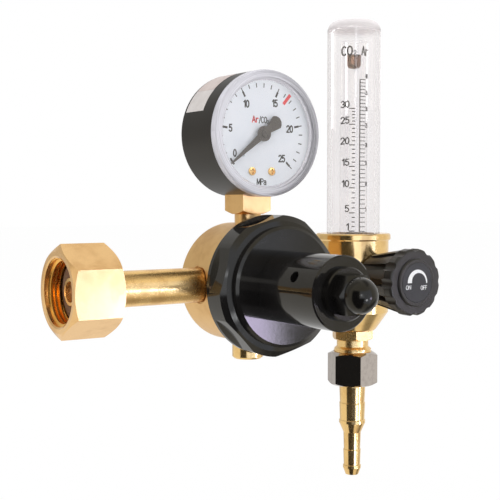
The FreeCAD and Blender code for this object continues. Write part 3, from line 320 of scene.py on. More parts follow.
clearLook = {"clean": (255, 255, 255), "tinted": (253, 252, 252), "shade": (248, 246, 246), "smearScale": 60,
             "rough": 0.0, "roughSpread": 0.02, "ior": 1.3, "glossTint": (1.0, 0.9, 0.68, 1)}
# the closed end's pale diffuse layer: painted light
coverCrown = {"from": 0.1085, "to": 0.1140, "share": 0.6, "smear": 0.06, "colour": (238, 235, 236)}
clearCover = clearPlastic("clear_cover", {**clearLook, "depth": (186, 164, 160), "density": 34.0,
                                          "crown": coverCrown})
clearMeter = clearPlastic("clear_meter", {**clearLook, "depth": (200, 184, 181), "density": 8.0})
# the window rim's pale diffuse layer, strongest towards one bearing: painted light
lensRim = {"from": 0.0212, "to": 0.0226, "least": 0.40, "most": 0.80, "facing": 2.55, "streakScale": 1.9,
           "streakTwist": 900.0, "streak": 0.55, "colour": (212, 211, 218)}
clearLens = clearPlastic("clear_lens", {**clearLook, "smearScale": 90, "ior": 1.45, "rim": lensRim})

finishOf = {
    brassNut: "inlet_nut",
    brassStem: "inlet_stem",
    brassBody: "regulator_body seat_nozzle spring_button lock_nut gland_nut outlet_link poppet diaphragm_plate "
               "pointer_arbor sector_gear tip_link bourdon_tube movement_front_plate movement_back_plate "
               "movement_post_left movement_post_right valve_needle slip_ring",
    brassPolished: "flow_block dial_screw_left dial_screw_right",
    brassFitting: "outlet_fitting",
    brassGuardShaded: "float_guard",
    brassStopShaded: "float_stop",
    brassTail: "hose_tail relief_body relief_plug relief_poppet",
    brassSquare: "gauge_stem",
    chromeNut: "outlet_nut",
    steelParts: "poppet_spring adjusting_spring adjusting_screw relief_spring knob_screw",
    bronzeFilter: "inlet_filter",
    bonnetPaint: "bonnet",
    capGloss: "screw_cap",
    knobBlack: "valve_knob",
    labelBlack: "knob_label",
    caseBlack: "gauge_case",
    pointerPaint: "gauge_pointer",
    sealBlack: "gauge_seal cover_seal stem_packing diaphragm",
    sealGrey: "inlet_seal",
    floatBlack: "float_ball",
    dialWhite: "gauge_dial",
    clearCover: "cover_tube",
    clearMeter: "metering_tube",
    clearLens: "gauge_lens",
}
for finish, names in finishOf.items():
    for name in names.split():
        for place in nodes[name].material_slots:
            place.material = finish
dressed = [name for names in finishOf.values() for name in names.split()]
print("solids dressed:", len(dressed), "left:", sorted(set(nodes) - set(dressed)))


# surfaces
def gridFaces(rows, columns, closed=False):
    # every cell of a grid of points is a face, and a closed grid joins its last column to its first
    row, column = np.meshgrid(np.arange(rows - 1), np.arange(columns if closed else columns - 1), indexing="ij")
    beside = (column + 1) % columns
    first = row * columns
    second = (row + 1) * columns
    return np.stack([first + column, first + beside, second + beside, second + column], -1).reshape(-1, 4)


def slab(front, lift):
    # a sheet given as a grid of points, and the same grid moved by lift, joined all round
    rows, columns = front.shape[:2]
    count = rows * columns
    face = gridFaces(rows, columns)
    index = np.arange(count).reshape(rows, columns)
    rim = np.concatenate([index[0, :-1], index[:-1, -1], index[-1, :0:-1], index[:0:-1, 0]])
    following = np.roll(rim, -1)
    side = np.stack([rim, following, following + count, rim + count], -1)
    points = np.concatenate([front.reshape(-1, 3), (front + lift).reshape(-1, 3)])
    return points, np.concatenate([face[:, ::-1], face + count, side]).tolist()


def gather(parts):
    # several shapes as one: points end to end, face numbers shifted to match
    points, faces, count = [], [], 0
    for shape, cells in parts:
        points.append(np.asarray(shape))
        faces += [[corner + count for corner in cell] for cell in cells]
        count += len(shape)
    return np.concatenate(points), faces


def facesOutward(points, faces):
    # sum of the signed volumes of the corner triangles, negative where the shape is inside out
    total = 0
    for cell in faces:
        corner = points[list(cell)]
        total += np.einsum("j,ij->", corner[0], np.cross(corner[1:-1], corner[2:]))
    return faces if total > 0 else [cell[::-1] for cell in faces]


cornerAngle = math.radians(38)  # a smooth piece stays sharp at corners over this


def putPiece(name, shapes, finish, body, smooth=False):
    # shapes in millimetres become one mesh in metres that rides on a body
    points, faces = gather([(shape, facesOutward(np.asarray(shape), cells)) for shape, cells in shapes])
    mesh = bpy.data.meshes.new(name)
    mesh.from_pydata((points * mm).tolist(), [], faces)
    mesh.polygons.foreach_set("use_smooth", np.full(len(mesh.polygons), smooth))
    mesh.materials.append(finish)
    if smooth:
        mesh.set_sharp_from_angle(angle=cornerAngle)
    mesh.update()
    piece = bpy.data.objects.new(name, mesh)
    bpy.context.scene.collection.objects.link(piece)
    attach(piece, body)
    return piece


# letters and figures: strokes in a box one unit high, each letter with its width
def line(*corners):
    # corners in order
    return np.array(corners, float)


def arc(across, up, halfWide, halfHigh, first, last, count=19):
    # points on an ellipse from the first angle to the last
    turn = np.radians(np.linspace(first, last, count))
    return np.stack([across + halfWide * np.cos(turn), up + halfHigh * np.sin(turn)], -1)


def joined(*runs):
    # runs of points end to end
    return np.concatenate(runs)


letters = {
    "0": (0.56, [arc(0.28, 0.5, 0.28, 0.5, 90, 450)]),
    "1": (0.36, [line((0.06, 0.77), (0.32, 1.0)), line((0.32, 1.0), (0.32, 0.0))]),
    "2": (0.56, [joined(arc(0.28, 0.72, 0.27, 0.28, 165, -35), line((0.02, 0.0))), line((0.02, 0.0), (0.56, 0.0))]),
    "3": (0.56, [joined(arc(0.27, 0.75, 0.26, 0.25, 150, -80), arc(0.27, 0.26, 0.28, 0.26, 80, -150))]),
    "4": (0.58, [line((0.44, 0.0), (0.44, 1.0)), line((0.44, 1.0), (0.0, 0.3)), line((0.0, 0.3), (0.58, 0.3))]),
    "5": (0.56, [line((0.52, 1.0), (0.10, 1.0)), line((0.10, 1.0), (0.06, 0.55)),
                 arc(0.26, 0.32, 0.29, 0.32, 125, -145)]),
    "A": (0.64, [line((0.0, 0.0), (0.32, 1.0)), line((0.32, 1.0), (0.64, 0.0)), line((0.13, 0.33), (0.51, 0.33))]),
    "r": (0.38, [line((0.04, 0.0), (0.04, 0.7)), arc(0.30, 0.40, 0.26, 0.28, 175, 65)]),
    "C": (0.62, [arc(0.34, 0.5, 0.34, 0.5, 48, 312)]),
    "O": (0.68, [arc(0.34, 0.5, 0.34, 0.5, 90, 450)]),
    "M": (0.78, [line((0.0, 0.0), (0.04, 1.0)), line((0.04, 1.0), (0.39, 0.12)), line((0.39, 0.12), (0.74, 1.0)),
                 line((0.74, 1.0), (0.78, 0.0))]),
    "P": (0.58, [line((0.0, 0.0), (0.0, 1.0)),
                 joined(line((0.0, 1.0)), arc(0.30, 0.74, 0.27, 0.26, 90, -90), line((0.0, 0.48)))]),
    "a": (0.52, [joined(arc(0.25, 0.44, 0.24, 0.26, 150, 0), line((0.49, 0.0))), arc(0.24, 0.2, 0.23, 0.2, 40, 400)]),
    "N": (0.62, [line((0.0, 0.0), (0.0, 1.0)), line((0.0, 1.0), (0.62, 0.0)), line((0.62, 0.0), (0.62, 1.0))]),
    "F": (0.52, [line((0.0, 0.0), (0.0, 1.0)), line((0.0, 1.0), (0.52, 1.0)), line((0.0, 0.53), (0.45, 0.53))]),
    "/": (0.38, [line((0.0, -0.06), (0.38, 1.06))]),
}


inkThick = 0.04  # how far printing stands off its face


def stroke(path, half, thick):
    # a ribbon of even width: its ends run on by most of the half width, and each point moves out along the mean
    # of its two side normals, longer at a corner
    runOn = 0.8 * half
    sharpest = 1.2  # least square of the two normals' sum, so that a sharp corner doesn't shoot out
    step = np.diff(path, axis=0)
    step = step / np.linalg.norm(step, axis=1)[:, None]
    path = np.concatenate([path[:1] - runOn * step[:1], path[1:-1], path[-1:] + runOn * step[-1:]])
    side = np.stack([-step[:, 1], step[:, 0]], -1)
    both = np.concatenate([side[:1], side]) + np.concatenate([side, side[-1:]])
    out = 2 * half * both / np.maximum((both ** 2).sum(1), sharpest)[:, None]
    flat = np.stack([path + out, path - out])
    return slab(np.concatenate([flat, np.zeros_like(flat[..., :1])], -1), np.array([0, 0, thick]))


def word(text, high, squeeze, half, thick=inkThick, gap=0.17):
    # a word about the origin: x to the right, y up, z towards the reader
    size = np.array([high * squeeze, high])
    starts = np.cumsum([0] + [letters[letter][0] + gap for letter in text])
    shift = np.array([(starts[-1] - gap) / 2, 0.5])
    return gather([stroke((path + [start, 0] - shift) * size, half, thick)
                   for letter, start in zip(text, starts) for path in letters[letter][1]])


def turned(profile, count):
    # a profile of radius and height carried round the upright axis: one point at each pole where it starts on the
    # axis, and otherwise a ring whose last row joins its first
    spin = np.linspace(0, 2 * np.pi, count, endpoint=False)
    profile = np.array(profile, float)
    hollow = profile[0, 0] > 0
    rings = profile if hollow else profile[1:-1]
    grid = np.stack([rings[:, :1] * np.cos(spin), rings[:, :1] * np.sin(spin), rings[:, 1:] + 0 * spin], -1)
    total = len(rings) * count
    if hollow:
        return grid.reshape(-1, 3), (gridFaces(len(rings) + 1, count, True) % total).tolist()
    ring = np.arange(count)
    beside = (ring + 1) % count
    first = np.stack([np.full(count, total), beside, ring], -1)
    final = np.stack([np.full(count, total + 1), total - count + ring, total - count + beside], -1)
    poles = [[0, 0, profile[0][1]], [0, 0, profile[-1][1]]]
    faces = gridFaces(len(rings), count, True).tolist() + first.tolist() + final.tolist()
    return np.concatenate([grid.reshape(-1, 3), poles]), faces


def bar(across, up, halfWide, halfHigh, turn=0.0, thick=inkThick, pieces=1):
    # a flat mark about (across, up), turned by turn, as a thin slab
    side, rise = np.meshgrid(np.linspace(-halfWide, halfWide, pieces + 1), np.array([-halfHigh, halfHigh]))
    flat = np.stack([across + side * math.cos(turn) - rise * math.sin(turn),
                     up + side * math.sin(turn) + rise * math.cos(turn), np.zeros_like(side)], -1)
    return slab(flat, np.array([0, 0, thick]))


def arcBand(first, last, outer, thickFirst, thickLast, lift, count=49):
    # a flat band along an arc from one angle to another, its width changing evenly between its ends
    share = np.linspace(0, 1, count)
    sweep = np.radians(first + (last - first) * share)
    reach = np.stack([outer + 0 * share, outer - thickFirst - (thickLast - thickFirst) * share])
    sheet = np.stack([reach * np.cos(sweep), reach * np.sin(sweep), 0 * reach], -1)
    return slab(sheet, np.array([0, 0, lift]))


def onFace(shape, centre):
    # x to the right, y up and z towards the reader, laid on a face that looks along -Y
    points, faces = shape
    laid = np.stack([points[:, 0], -points[:, 2], points[:, 1]], -1)
    return laid + np.array(centre), faces


def onRound(shape, centre, radius, angle):
    # x is an offset seen from the front of a standing cylinder, y its height and z the distance off it
    points, faces = shape
    widest = 0.98  # printing stops short of the cylinder's edge
    turn = angle + np.arcsin(np.clip(points[:, 0] / radius, -widest, widest))
    reach = radius + points[:, 2]
    bent = np.stack([reach * np.cos(turn), reach * np.sin(turn), points[:, 1]], -1)
    return bent + np.array(centre), faces


def moved(shape, across, up):
    # shifted in its own plane
    points, faces = shape
    return points + np.array([across, up, 0]), faces


def printed(text, high, squeeze, half, across, up, thick=inkThick):
    # a word with its middle at (across, up)
    return moved(word(text, high, squeeze, half, thick), across, up)


# gauge dial: scale, numbers, gas and unit
dial = {
    "centre": (regulatorAxis, -10.0, gaugeRise), "zero": 227.2, "perUnit": 10.8, "units": 25,
    "firstMark": 2, "majorEvery": 5,
    "minor": (19.1, 20.9, 0.2), "major": (17.0, 19.3, 0.42), "majorTip": (19.2, 20.9, 0.2),
    "limit": (16.5, 16.9, 22.2, 0.72), "zeroBand": (213.9, 223.3, 19.05, 0.8, 0.8),
    "numbers": {"0": (-13.3, -8.2), "5": (-15.4, 1.9), "10": (-7.7, 12.0), "15": (6.6, 12.9), "20": (14.3, 2.5),
                "25": (10.2, -10.0)},
    "number": (2.7, 0.86, 0.28),  # letter height, width share and half stroke
    "gas": {"Ar": (2.4, 1.0, 0.25, -3.3, 5.9)},  # the same, then the place
    "words": {"/CO": (2.4, 0.78, 0.2, 0.6, 5.75), "2": (1.3, 0.85, 0.13, 3.1, 5.0),
              "MPa": (2.4, 0.85, 0.21, -0.1, -19.8)},
}


def dialMark(value, inner, outer, halfWide):
    # a bar along the spoke that the scale gives this value
    turn = math.radians(dial["zero"] - dial["perUnit"] * value)
    reach = (inner + outer) / 2
    return bar(reach * math.cos(turn), reach * math.sin(turn), (outer - inner) / 2, halfWide, turn)


def putOnDial(name, shapes, finish):
    # flat shapes about the dial's centre, laid on its face
    putPiece(name, [onFace(shape, dial["centre"]) for shape in shapes], finish, "regulator")


scaleMarks = [arcBand(*dial["zeroBand"], inkThick)]  # the pointer rests on it, and the marks start clear of it
for value in range(dial["firstMark"], dial["units"] + 1):
    if value % dial["majorEvery"]:
        scaleMarks.append(dialMark(value, *dial["minor"]))
    else:
        scaleMarks.append(dialMark(value, *dial["major"]))
        scaleMarks.append(dialMark(value, *dial["majorTip"]))
putOnDial("dial_scale", scaleMarks, inkBlack)
putOnDial("dial_numbers", [printed(text, *dial["number"], *at) for text, at in dial["numbers"].items()], inkBlack)
putOnDial("dial_limit", [dialMark(*dial["limit"])], inkRed)
putOnDial("dial_gas_red", [printed(text, *size) for text, size in dial["gas"].items()], inkRed)
putOnDial("dial_words", [printed(text, *size) for text, size in dial["words"].items()], inkBlack)

# dial screws: shank and domed head with a cross pressed into it
dialScrew = {"shank": 0.9, "head": 1.7, "plane": -10.0, "height": 0.8, "crossLong": 1.15, "crossHalf": 0.36,
             "crossDeep": 0.6, "edge": 0.62, "clear": 0.1, "sides": 64, "rows": 15}
for side in ("left", "right"):
    low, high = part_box("dial_screw_" + side)
    shankEnd = dialScrew["plane"] - high.y / mm
    # the head's edge stands straight up, and a quarter ellipse closes it
    dome = np.linspace(1, 0, dialScrew["rows"])[:-1]
    swell = dialScrew["edge"] + (1 - dialScrew["edge"]) * np.sqrt(1 - dome ** 2)
    top = np.stack([dialScrew["head"] * dome, dialScrew["height"] * swell], -1).tolist()
    profile = [(0, shankEnd), (dialScrew["shank"], shankEnd), (dialScrew["shank"], 0), (dialScrew["head"], 0), *top,
               (0, dialScrew["height"])]
    points, faces = turned(profile, dialScrew["sides"])
    arms = np.minimum(np.abs(points[:, 0]), np.abs(points[:, 1])) < dialScrew["crossHalf"]
    within = np.hypot(points[:, 0], points[:, 1]) < dialScrew["crossLong"]
    inCross = arms & within & (points[:, 2] > dialScrew["clear"])
    points[:, 2] = points[:, 2] - dialScrew["crossDeep"] * inCross
    at = ((low.x + high.x) / 2 / mm, dialScrew["plane"], (low.z + high.z) / 2 / mm)
    piece = putPiece("dial_screw_head_" + side, [onFace((points, faces), at)], brassPolished, "regulator")
    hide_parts("dial_screw_" + side)
print("dial printed")

# pieces turned fine and smooth: cover tube, metering tube, the guard in its top and the gauge window
cover = {"radius": 12.0, "bore": 9.6, "foot": 10.2, "top": 115.4, "crown": 3.0, "corner": 4.5, "innerCorner": 2.5,
         "sides": 160}
crownTurn = (cover["radius"] - cover["corner"], cover["top"] - cover["corner"])
innerTurn = (cover["bore"] - cover["innerCorner"], cover["top"] - cover["crown"] - cover["innerCorner"])
coverShape = turned(joined(
    line((0, cover["top"] - cover["crown"])), arc(*innerTurn, cover["innerCorner"], cover["innerCorner"], 90, 0),
    line((cover["bore"], cover["foot"]), (cover["radius"], cover["foot"])),
    arc(*crownTurn, cover["corner"], cover["corner"], 0, 90), line((0, cover["top"]))), cover["sides"])
meter = {"outer": 6.2, "boreLow": 2.6, "boreHigh": 3.3, "foot": 3.0, "top": 106.0, "sides": 128}
meterShape = turned(line((meter["boreLow"], meter["foot"]), (meter["outer"], meter["foot"]),
                         (meter["outer"], meter["top"]), (meter["boreHigh"], meter["top"])), meter["sides"])
guard = {"bore": 1.0, "low": 94.0, "high": 100.0, "round": 2.0, "radius": 3.2, "sides": 96}
guardShape = turned(joined(
    line((guard["bore"], guard["high"]), (guard["bore"], guard["low"])),
    arc(guard["radius"] - guard["round"], guard["low"] + guard["round"], guard["round"], guard["round"], -90, 0),
    line((guard["radius"], guard["high"]))), guard["sides"])
window = {"face": 14.3, "back": 13.3, "radius": 21.8, "slope": 1.2, "front": 15.9, "outer": 26.0, "corner": 1.0,
          "seat": 12.4, "spigot": 10.9, "spigotOuter": 25.0, "spigotInner": 24.0, "sides": 192}
windowShape = turned(joined(
    line((0, window["back"]), (window["spigotInner"], window["back"]), (window["spigotInner"], window["spigot"]),
         (window["spigotOuter"], window["spigot"]), (window["spigotOuter"], window["seat"]),
         (window["outer"], window["seat"])),
    arc(window["outer"] - window["corner"], window["front"] - window["corner"], window["corner"], window["corner"],
        0, 90),
    line((window["radius"] + window["slope"], window["front"]), (window["radius"], window["face"]),
         (0, window["face"]))), window["sides"])
flowPlace = np.array([flowAxis, 0, 0])
onFlowAxis = {"cover_tube_clear": (coverShape, clearCover, "cover_tube", "clear_cover"),
              "metering_tube_clear": (meterShape, clearMeter, "metering_tube", "clear_tube"),
              "float_guard_round": (guardShape, brassGuardShaded, "float_guard", "brass_satin")}
for name, ((points, faces), finish, node, slotName) in onFlowAxis.items():
    piece = putPiece(name, [(points + flowPlace, faces)], finish, "regulator", True)
    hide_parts(node)
piece = putPiece("gauge_window_clear", [onFace(windowShape, (regulatorAxis, 0, gaugeRise))], clearLens, "regulator",
                 True)
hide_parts("gauge_lens")
print("tubes and window turned")

# flow scale on the metering tube, read from the front left
flow = {
    "centre": (flowAxis, 0, 0), "radius": meter["outer"], "facing": math.radians(230.2), "units": 30,
    "majors": {1: 20.9, 5: 29.1, 10: 40.3, 15: 49.9, 20: 59.5, 25: 68.7, 30: 75.8},
    "minor": (-0.7, 0.7), "major": (-1.9, 0.6), "markHalf": 0.22, "bends": 6, "thick": 0.1,
    "number": (2.75, 1.0, 0.24), "numberRight": -1.75, "numberRise": 1.9,
    "line": (2.65, 20.7, 88.7), "lineHalf": 0.22,  # across, from and to, and half its width
    "seconds": {5: 30.7, 10: 42.1, 15: 51.5, 20: 59.6, 25: 68.4, 30: 75.8, 35: 82.9, 40: 90.3},
    "secondEnd": 5.0, "secondHalf": 0.17, "secondCount": 39, "closing": 0.18,
    "secondNumber": (1.9, 0.35, 0.09), "secondAcross": 5.5,
    "words": {"CO": (3.8, 0.8, 0.33, -3.0, 101.4), "2": (2.1, 0.8, 0.2, 0.4, 100.4),
              "Ar": (3.8, 0.55, 0.22, 4.6, 101.4)},
}


def flowMark(left, right, height, halfHigh):
    # a bar across the tube, divided so that it can bend round it
    return bar((left + right) / 2, height, (right - left) / 2, halfHigh, thick=flow["thick"], pieces=flow["bends"])


values = np.array(sorted(flow["majors"]))
heights = np.array([flow["majors"][value] for value in values])
flowMarks = []
for value in range(1, flow["units"] + 1):
    span = flow["major"] if value in flow["majors"] else flow["minor"]
    flowMarks.append(flowMark(*span, float(np.interp(value, values, heights)), flow["markHalf"]))
lineAt, lineLow, lineHigh = flow["line"]
flowMarks.append(flowMark(lineAt - flow["lineHalf"], lineAt + flow["lineHalf"], (lineLow + lineHigh) / 2,
                          (lineHigh - lineLow) / 2))
# the second scale's marks close up evenly towards the top
steps = np.linspace(0, 1, flow["secondCount"])
climb = (1 + flow["closing"]) * steps - flow["closing"] * steps ** 2
for height in lineLow + (lineHigh - lineLow) * climb:
    flowMarks.append(flowMark(lineAt, flow["secondEnd"], float(height), flow["secondHalf"]))
for value, height in flow["majors"].items():
    number = word(str(value), *flow["number"], flow["thick"])
    flowMarks.append(moved(number, flow["numberRight"] - number[0][:, 0].max(), height + flow["numberRise"]))
for value, height in flow["seconds"].items():
    flowMarks.append(printed(str(value), *flow["secondNumber"], flow["secondAcross"], height, flow["thick"]))
for text, size in flow["words"].items():
    flowMarks.append(printed(text, *size, flow["thick"]))
putPiece("flow_scale", [onRound(mark, flow["centre"], flow["radius"], flow["facing"]) for mark in flowMarks],
         inkBlack, "regulator")
print("flow scale printed")

# knob label: a growing arc and two words
labelLow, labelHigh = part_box("knob_label")
label = {"centre": ((labelLow.x + labelHigh.x) / 2 / mm, labelLow.y / mm, (labelLow.z + labelHigh.z) / 2 / mm),
         "band": (180, -4, 5.55, 2.4, 0.5, 0.05),  # from, to, outer radius, width at either end, thickness
         "words": {"ON": (1.65, 1.1, 0.13, -5.1, -1.83), "OFF": (1.65, 1.0, 0.13, 3.67, -2.24)}}
labelMarks = [arcBand(*label["band"])]
for text, size in label["words"].items():
    labelMarks.append(printed(text, *size))
putPiece("knob_marks", [onFace(mark, label["centre"]) for mark in labelMarks], inkWhite, "knob")
print("knob label printed")


# threads: a ridge carried along a screw line
def threadRidge(base, crest, pitch, turns, start, steps=48):
    # four points across the ridge, its foot sunk in the wall, its height growing over half a turn at each end
    footHalf, tipHalf = 0.42, 0.09  # shares of the pitch
    footDeep, leastHeight = 0.15, 0.02
    share = np.linspace(0, 1, int(turns * steps) + 1)[:, None]
    fade = np.clip(np.minimum(share, 1 - share) * turns * 2, leastHeight, 1)
    sink = -footDeep * np.sign(crest - base)
    around = np.array([-footHalf, -tipHalf, tipHalf, footHalf])[None, :]
    lift = np.array([0.0, 1.0, 1.0, 0.0])[None, :]
    radius = base + sink + (crest - base - sink) * lift * fade
    along = start + pitch * (turns * share + around)
    turn = 2 * np.pi * turns * share + 0 * around
    grid = np.stack([radius * np.cos(turn), radius * np.sin(turn), along], -1)
    rows, columns = grid.shape[:2]
    last = (rows - 1) * columns
    faces = gridFaces(rows, columns, True).tolist() + [[3, 2, 1, 0], [last, last + 1, last + 2, last + 3]]
    return grid.reshape(-1, 3), faces


inletThread = {"base": 13.5, "crest": 12.06, "pitch": 1.814, "turns": 4.0, "start": 0.9}
ridge, ridgeFaces = threadRidge(**inletThread)
putPiece("inlet_thread_turns", [(ridge[:, [2, 0, 1]], ridgeFaces)], brassBoreLit, "inlet_union", True)
outletThread = {"base": 8.05, "crest": 8.62, "pitch": 1.1, "turns": 7.3, "start": -40.6}
ridge, ridgeFaces = threadRidge(**outletThread)
putPiece("outlet_thread_turns", [(ridge + flowPlace, ridgeFaces)], brassPolished, "regulator",
         True)
print("threads cut")


# springs: round wire on a screw line
def coilSpring(wire, mean, turns, length, steps=48, sides=14):
    # the line climbs evenly round the upright axis, and a ring of points stands square to it at each step
    share = np.linspace(0, 1, turns * steps + 1)[:, None]
    turn = 2 * np.pi * turns * share
    climb = (length - wire) / (2 * np.pi * turns)
    outward = np.concatenate([np.cos(turn), np.sin(turn), 0 * turn], 1)
    ahead = np.concatenate([-mean * np.sin(turn), mean * np.cos(turn), climb + 0 * turn], 1)
    ahead = ahead / math.hypot(mean, climb)
    aside = np.cross(ahead, outward)
    middle = outward * mean + np.array([0, 0, 1]) * (wire / 2 + climb * turn)
    ring = np.linspace(0, 2 * np.pi, sides, endpoint=False)[None, :, None]
    grid = middle[:, None] + wire / 2 * (outward[:, None] * np.cos(ring) + aside[:, None] * np.sin(ring))
    last = (len(grid) - 1) * sides
    ends = [list(range(sides)), list(range(last + sides - 1, last - 1, -1))]
    return grid.reshape(-1, 3), gridFaces(len(grid), sides, True).tolist() + ends


low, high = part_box("adjusting_spring")
adjusting = {"wire": 3.0, "mean": 8.5, "turns": 5, "length": (high.y - low.y) / mm}
piece = putPiece("adjusting_spring_coil", [onFace(coilSpring(**adjusting), (regulatorAxis, high.y / mm, 0))],
                 steelParts, "regulator", True)
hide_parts("adjusting_spring")
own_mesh(piece)
low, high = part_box("relief_spring")
relief = {"wire": 0.8, "mean": 2.6, "turns": 4, "length": (high.z - low.z) / mm}
points, faces = coilSpring(**relief)
piece = putPiece("relief_spring_coil", [(points + np.array([regulatorAxis, 0, low.z / mm]), faces)],
                 steelParts, "regulator", True)
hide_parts("relief_spring")
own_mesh(piece)
print("springs wound")

# blank sticker on the side of the gauge case: two strips of a ring about the dial's axis, one lapped over the other
sticker = {"radius": 26.0, "back": 9.5, "front": -4.0, "upper": (108, 137), "lower": (136, 160), "thick": 0.08,
           "lap": 0.06, "rows": 17, "columns": 5}
strips = []
for first, last, lift in ((*sticker["upper"], sticker["lap"]), (*sticker["lower"], 0.0)):
    turn, along = np.meshgrid(np.radians(np.linspace(first, last, sticker["rows"])),
                              np.linspace(sticker["back"], sticker["front"], sticker["columns"]), indexing="ij")
    outward = np.stack([np.cos(turn), 0 * turn, np.sin(turn)], -1)
    sheet = outward * (sticker["radius"] + lift) + np.stack([0 * along, along, 0 * along], -1)
    strips.append((sheet + np.array([regulatorAxis, 0, gaugeRise]), outward * sticker["thick"]))
putPiece("case_sticker_upper", [slab(*strips[0])], stickerPink, "regulator", True)
putPiece("case_sticker_lower", [slab(*strips[1])], stickerFilm, "regulator", True)
print("sticker laid")

# camera, floor and light
view = {"at": (-0.15471, -0.35955, 0.03572), "azimuth": -34.032, "elevation": 2.91, "lens": 73.505,
        "sensor": 36, "near": 0.01}
azimuth = math.radians(view["azimuth"])
elevation = math.radians(view["elevation"])
back = Vector((math.sin(azimuth) * math.cos(elevation), -math.cos(azimuth) * math.cos(elevation),
               math.sin(elevation)))
right = Vector((0, 0, 1)).cross(back).normalized()
up = back.cross(right)
lensData = bpy.data.cameras.new("camera")
lensData.lens = view["lens"]
lensData.sensor_width = view["sensor"]
lensData.clip_start = view["near"]
camera = bpy.data.objects.new("camera", lensData)
camera.matrix_world = Matrix((
    (right.x, up.x, back.x, view["at"][0]), (right.y, up.y, back.y, view["at"][1]),
    (right.z, up.z, back.z, view["at"][2]), (0, 0, 0, 1)))
bpy.context.scene.collection.objects.link(camera)
bpy.context.scene.camera = camera

studio = {"floorDrop": 0.0005, "floorSize": 8.0, "floorColour": (0.9, 0.9, 0.9, 1), "floorGlow": 0.985,
          "ambient": 0.5}
floorLevel = cadBox[0].z - studio["floorDrop"]
reachOut = studio["floorSize"] / 2
floorMesh = bpy.data.meshes.new("floor")
floorMesh.from_pydata([(-reachOut, -reachOut, floorLevel), (reachOut, -reachOut, floorLevel),
                       (reachOut, reachOut, floorLevel), (-reachOut, reachOut, floorLevel)], [], [(0, 1, 2, 3)])
floor = bpy.data.objects.new("floor", floorMesh)
bpy.context.scene.collection.objects.link(floor)
floor.visible_glossy = False
floorFinish, floorTree, _ = newFinish("floor_white")
straight = floorTree.add("ShaderNodeLightPath", out="Is Camera Ray")
through = floorTree.add("ShaderNodeLightPath", out="Is Transmission Ray")
share = straight.larger(through) * studio["floorGlow"]  # the rest keeps the object's shadow
matt = floorTree.add("ShaderNodeBsdfDiffuse", {}, {"Color": studio["floorColour"]})
glow = floorTree.add("ShaderNodeEmission", {}, {"Color": (1, 1, 1, 1), "Strength": 1.0})
closeFinish(floorTree, floorTree.add("ShaderNodeMixShader", {}, {0: share, 1: matt, 2: glow}))
floorMesh.materials.append(floorFinish)

# the room that metal and plastic mirror, bearing and tilt in degrees: from, to and softness
cards = {  # black, at the front left
    "standing": {"bearing": (180, 226, 2.5), "tilt": (-80, 34, 4)},
    "low": {"bearing": (178, 258, 3), "tilt": (-80, -10.5, 1.5)},
}
cardShade = 0.98
walls = {  # dimmed from the foot up
    "side": {"bearing": (100, 158, 6), "foot": (-8, -4), "shade": 0.36},
    "far": {"bearing": (62, 104, 6), "foot": (-24, -18), "shade": 0.26},
}
overhead = {"east": (0.2, 0.4), "steep": (0.5, 0.7), "north": (0.18, 0.34), "shade": 0.6}
underside = {"east": 0.85, "down": 0.75, "edge": (0.92, 1.02), "north": (-0.16, -0.02), "shade": 0.7}
lightLevel = 0.95
lights = {
    "panel": {"bearing": (230, 307, 2.5), "tilt": (-40, 32, 6), "power": 0.2, "tint": (0.96, 1.1, 1.55, 1)},
    "heart": {"bearing": (284, 303, 4), "tilt": (-28, 1, 3), "power": 0.35},
    "strip": {"bearing": (231, 256, 2), "tilt": (-9, 14, 3), "power": 0.6},
    "slit": {"bearing": (299.5, 305.5, 1), "tilt": (-15, -5.2, 0.8), "power": 14.0, "tint": (0.96, 0.94, 1.75, 1)},
}
glints = {  # two small lamps that the domed cap shows
    "lower": {"bearing": 274, "tilt": -20.5, "inner": 3, "outer": 6, "power": 15},
    "upper": {"bearing": 239, "tilt": 9.5, "inner": 2, "outer": 6, "power": 7},
}
world = bpy.data.worlds.new("studio")
bpy.context.scene.world = world
world.use_nodes = True
world.node_tree.nodes.clear()
room = Wire(world.node_tree)
toward = room.add("ShaderNodeTexCoord", out="Generated")
eastward, northward, upward = toward.split()
bearing = room.add("ShaderNodeMath", {"operation": "ARCTAN2"}, {0: northward, 1: eastward}) * math.degrees(1)
bearing = room.add("ShaderNodeMath", {"operation": "FLOORED_MODULO"}, {0: bearing, 1: 360.0})
tilt = room.add("ShaderNodeMath", {"operation": "ARCSINE"}, {0: upward}) * math.degrees(1)


def areaOf(area):
    # 1 inside a stretch of bearing and tilt, fading at its edges
    return bearing.band(*area["bearing"]) * tilt.band(*area["tilt"])


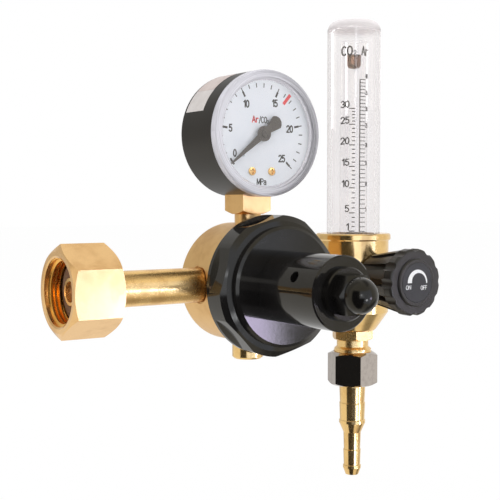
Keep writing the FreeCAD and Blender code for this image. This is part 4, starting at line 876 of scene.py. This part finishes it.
dark = areaOf(cards["standing"]).larger(areaOf(cards["low"]))
above = eastward.rise(*overhead["east"]) * (upward * upward).rise(*overhead["steep"])
above = above * (1 - northward.rise(*overhead["north"])) * overhead["shade"]
below = (eastward * underside["east"] - upward * underside["down"]).rise(*underside["edge"])
below = below * (1 - northward.rise(*underside["north"])) * underside["shade"]
dim = above.larger(below)
for wall in walls.values():
    dim = dim.larger(bearing.band(*wall["bearing"]) * tilt.rise(*wall["foot"]) * wall["shade"])
mirror = lightLevel
tint = (1, 1, 1, 1)
for light in lights.values():
    area = areaOf(light)
    mirror = mirror + area * light["power"]
    if "tint" in light:
        tint = room.blend(area, tint, light["tint"])
mirror = mirror * (1 - dim) * (1 - dark * cardShade)
for glint in glints.values():
    lampTurn = math.radians(glint["bearing"])
    lampRise = math.radians(glint["tilt"])
    lampAt = (math.cos(lampRise) * math.cos(lampTurn), math.cos(lampRise) * math.sin(lampTurn), math.sin(lampRise))
    near = room.add("ShaderNodeVectorMath", {"operation": "DOT_PRODUCT"}, {0: toward, 1: lampAt}, "Value")
    spot = near.rise(math.cos(math.radians(glint["outer"])), math.cos(math.radians(glint["inner"])))
    mirror = mirror + spot * glint["power"]
isGlossy = room.add("ShaderNodeLightPath", out="Is Glossy Ray")
isCamera = room.add("ShaderNodeLightPath", out="Is Camera Ray")
isThrough = room.add("ShaderNodeLightPath", out="Is Transmission Ray")
seenThrough = isCamera.larger(isThrough)
level = studio["ambient"] + isGlossy * (mirror - studio["ambient"])
level = level + seenThrough * (1 - level)
tint = room.blend(isGlossy * (1 - seenThrough), (1, 1, 1, 1), tint)
glowing = room.add("ShaderNodeVectorMath", {"operation": "SCALE"}, {0: tint, "Scale": level})
sky = room.add("ShaderNodeBackground", {}, {"Color": glowing, "Strength": 1.0})
room.add("ShaderNodeOutputWorld", {}, {"Surface": sky})

lamps = {
    "key": {"at": (0.55, -0.75, 0.55), "size": 0.7, "power": 4},
    "fill": {"at": (-0.7, -0.5, 0.35), "size": 0.7, "power": 2.5},
    "top": {"at": (0.1, 0.1, 0.9), "size": 0.8, "power": 4},
    "rear": {"at": (-0.2, 0.8, 0.5), "size": 0.8, "power": 3},
}
aim = (Vector(cadBox[0]) + Vector(cadBox[1])) / 2
for name, lamp in lamps.items():
    lampData = bpy.data.lights.new(name, "AREA")
    lampData.size = lamp["size"]
    lampData.energy = lamp["power"]
    holder = bpy.data.objects.new(name, lampData)
    holder.location = lamp["at"]
    holder.rotation_euler = (aim - Vector(lamp["at"])).to_track_quat("-Z", "Y").to_euler()
    holder.visible_glossy = False
    holder.visible_camera = False
    bpy.context.scene.collection.objects.link(holder)
print("studio lit")

bpy.context.scene.view_settings.view_transform = "Standard"
bpy.context.view_layer.update()
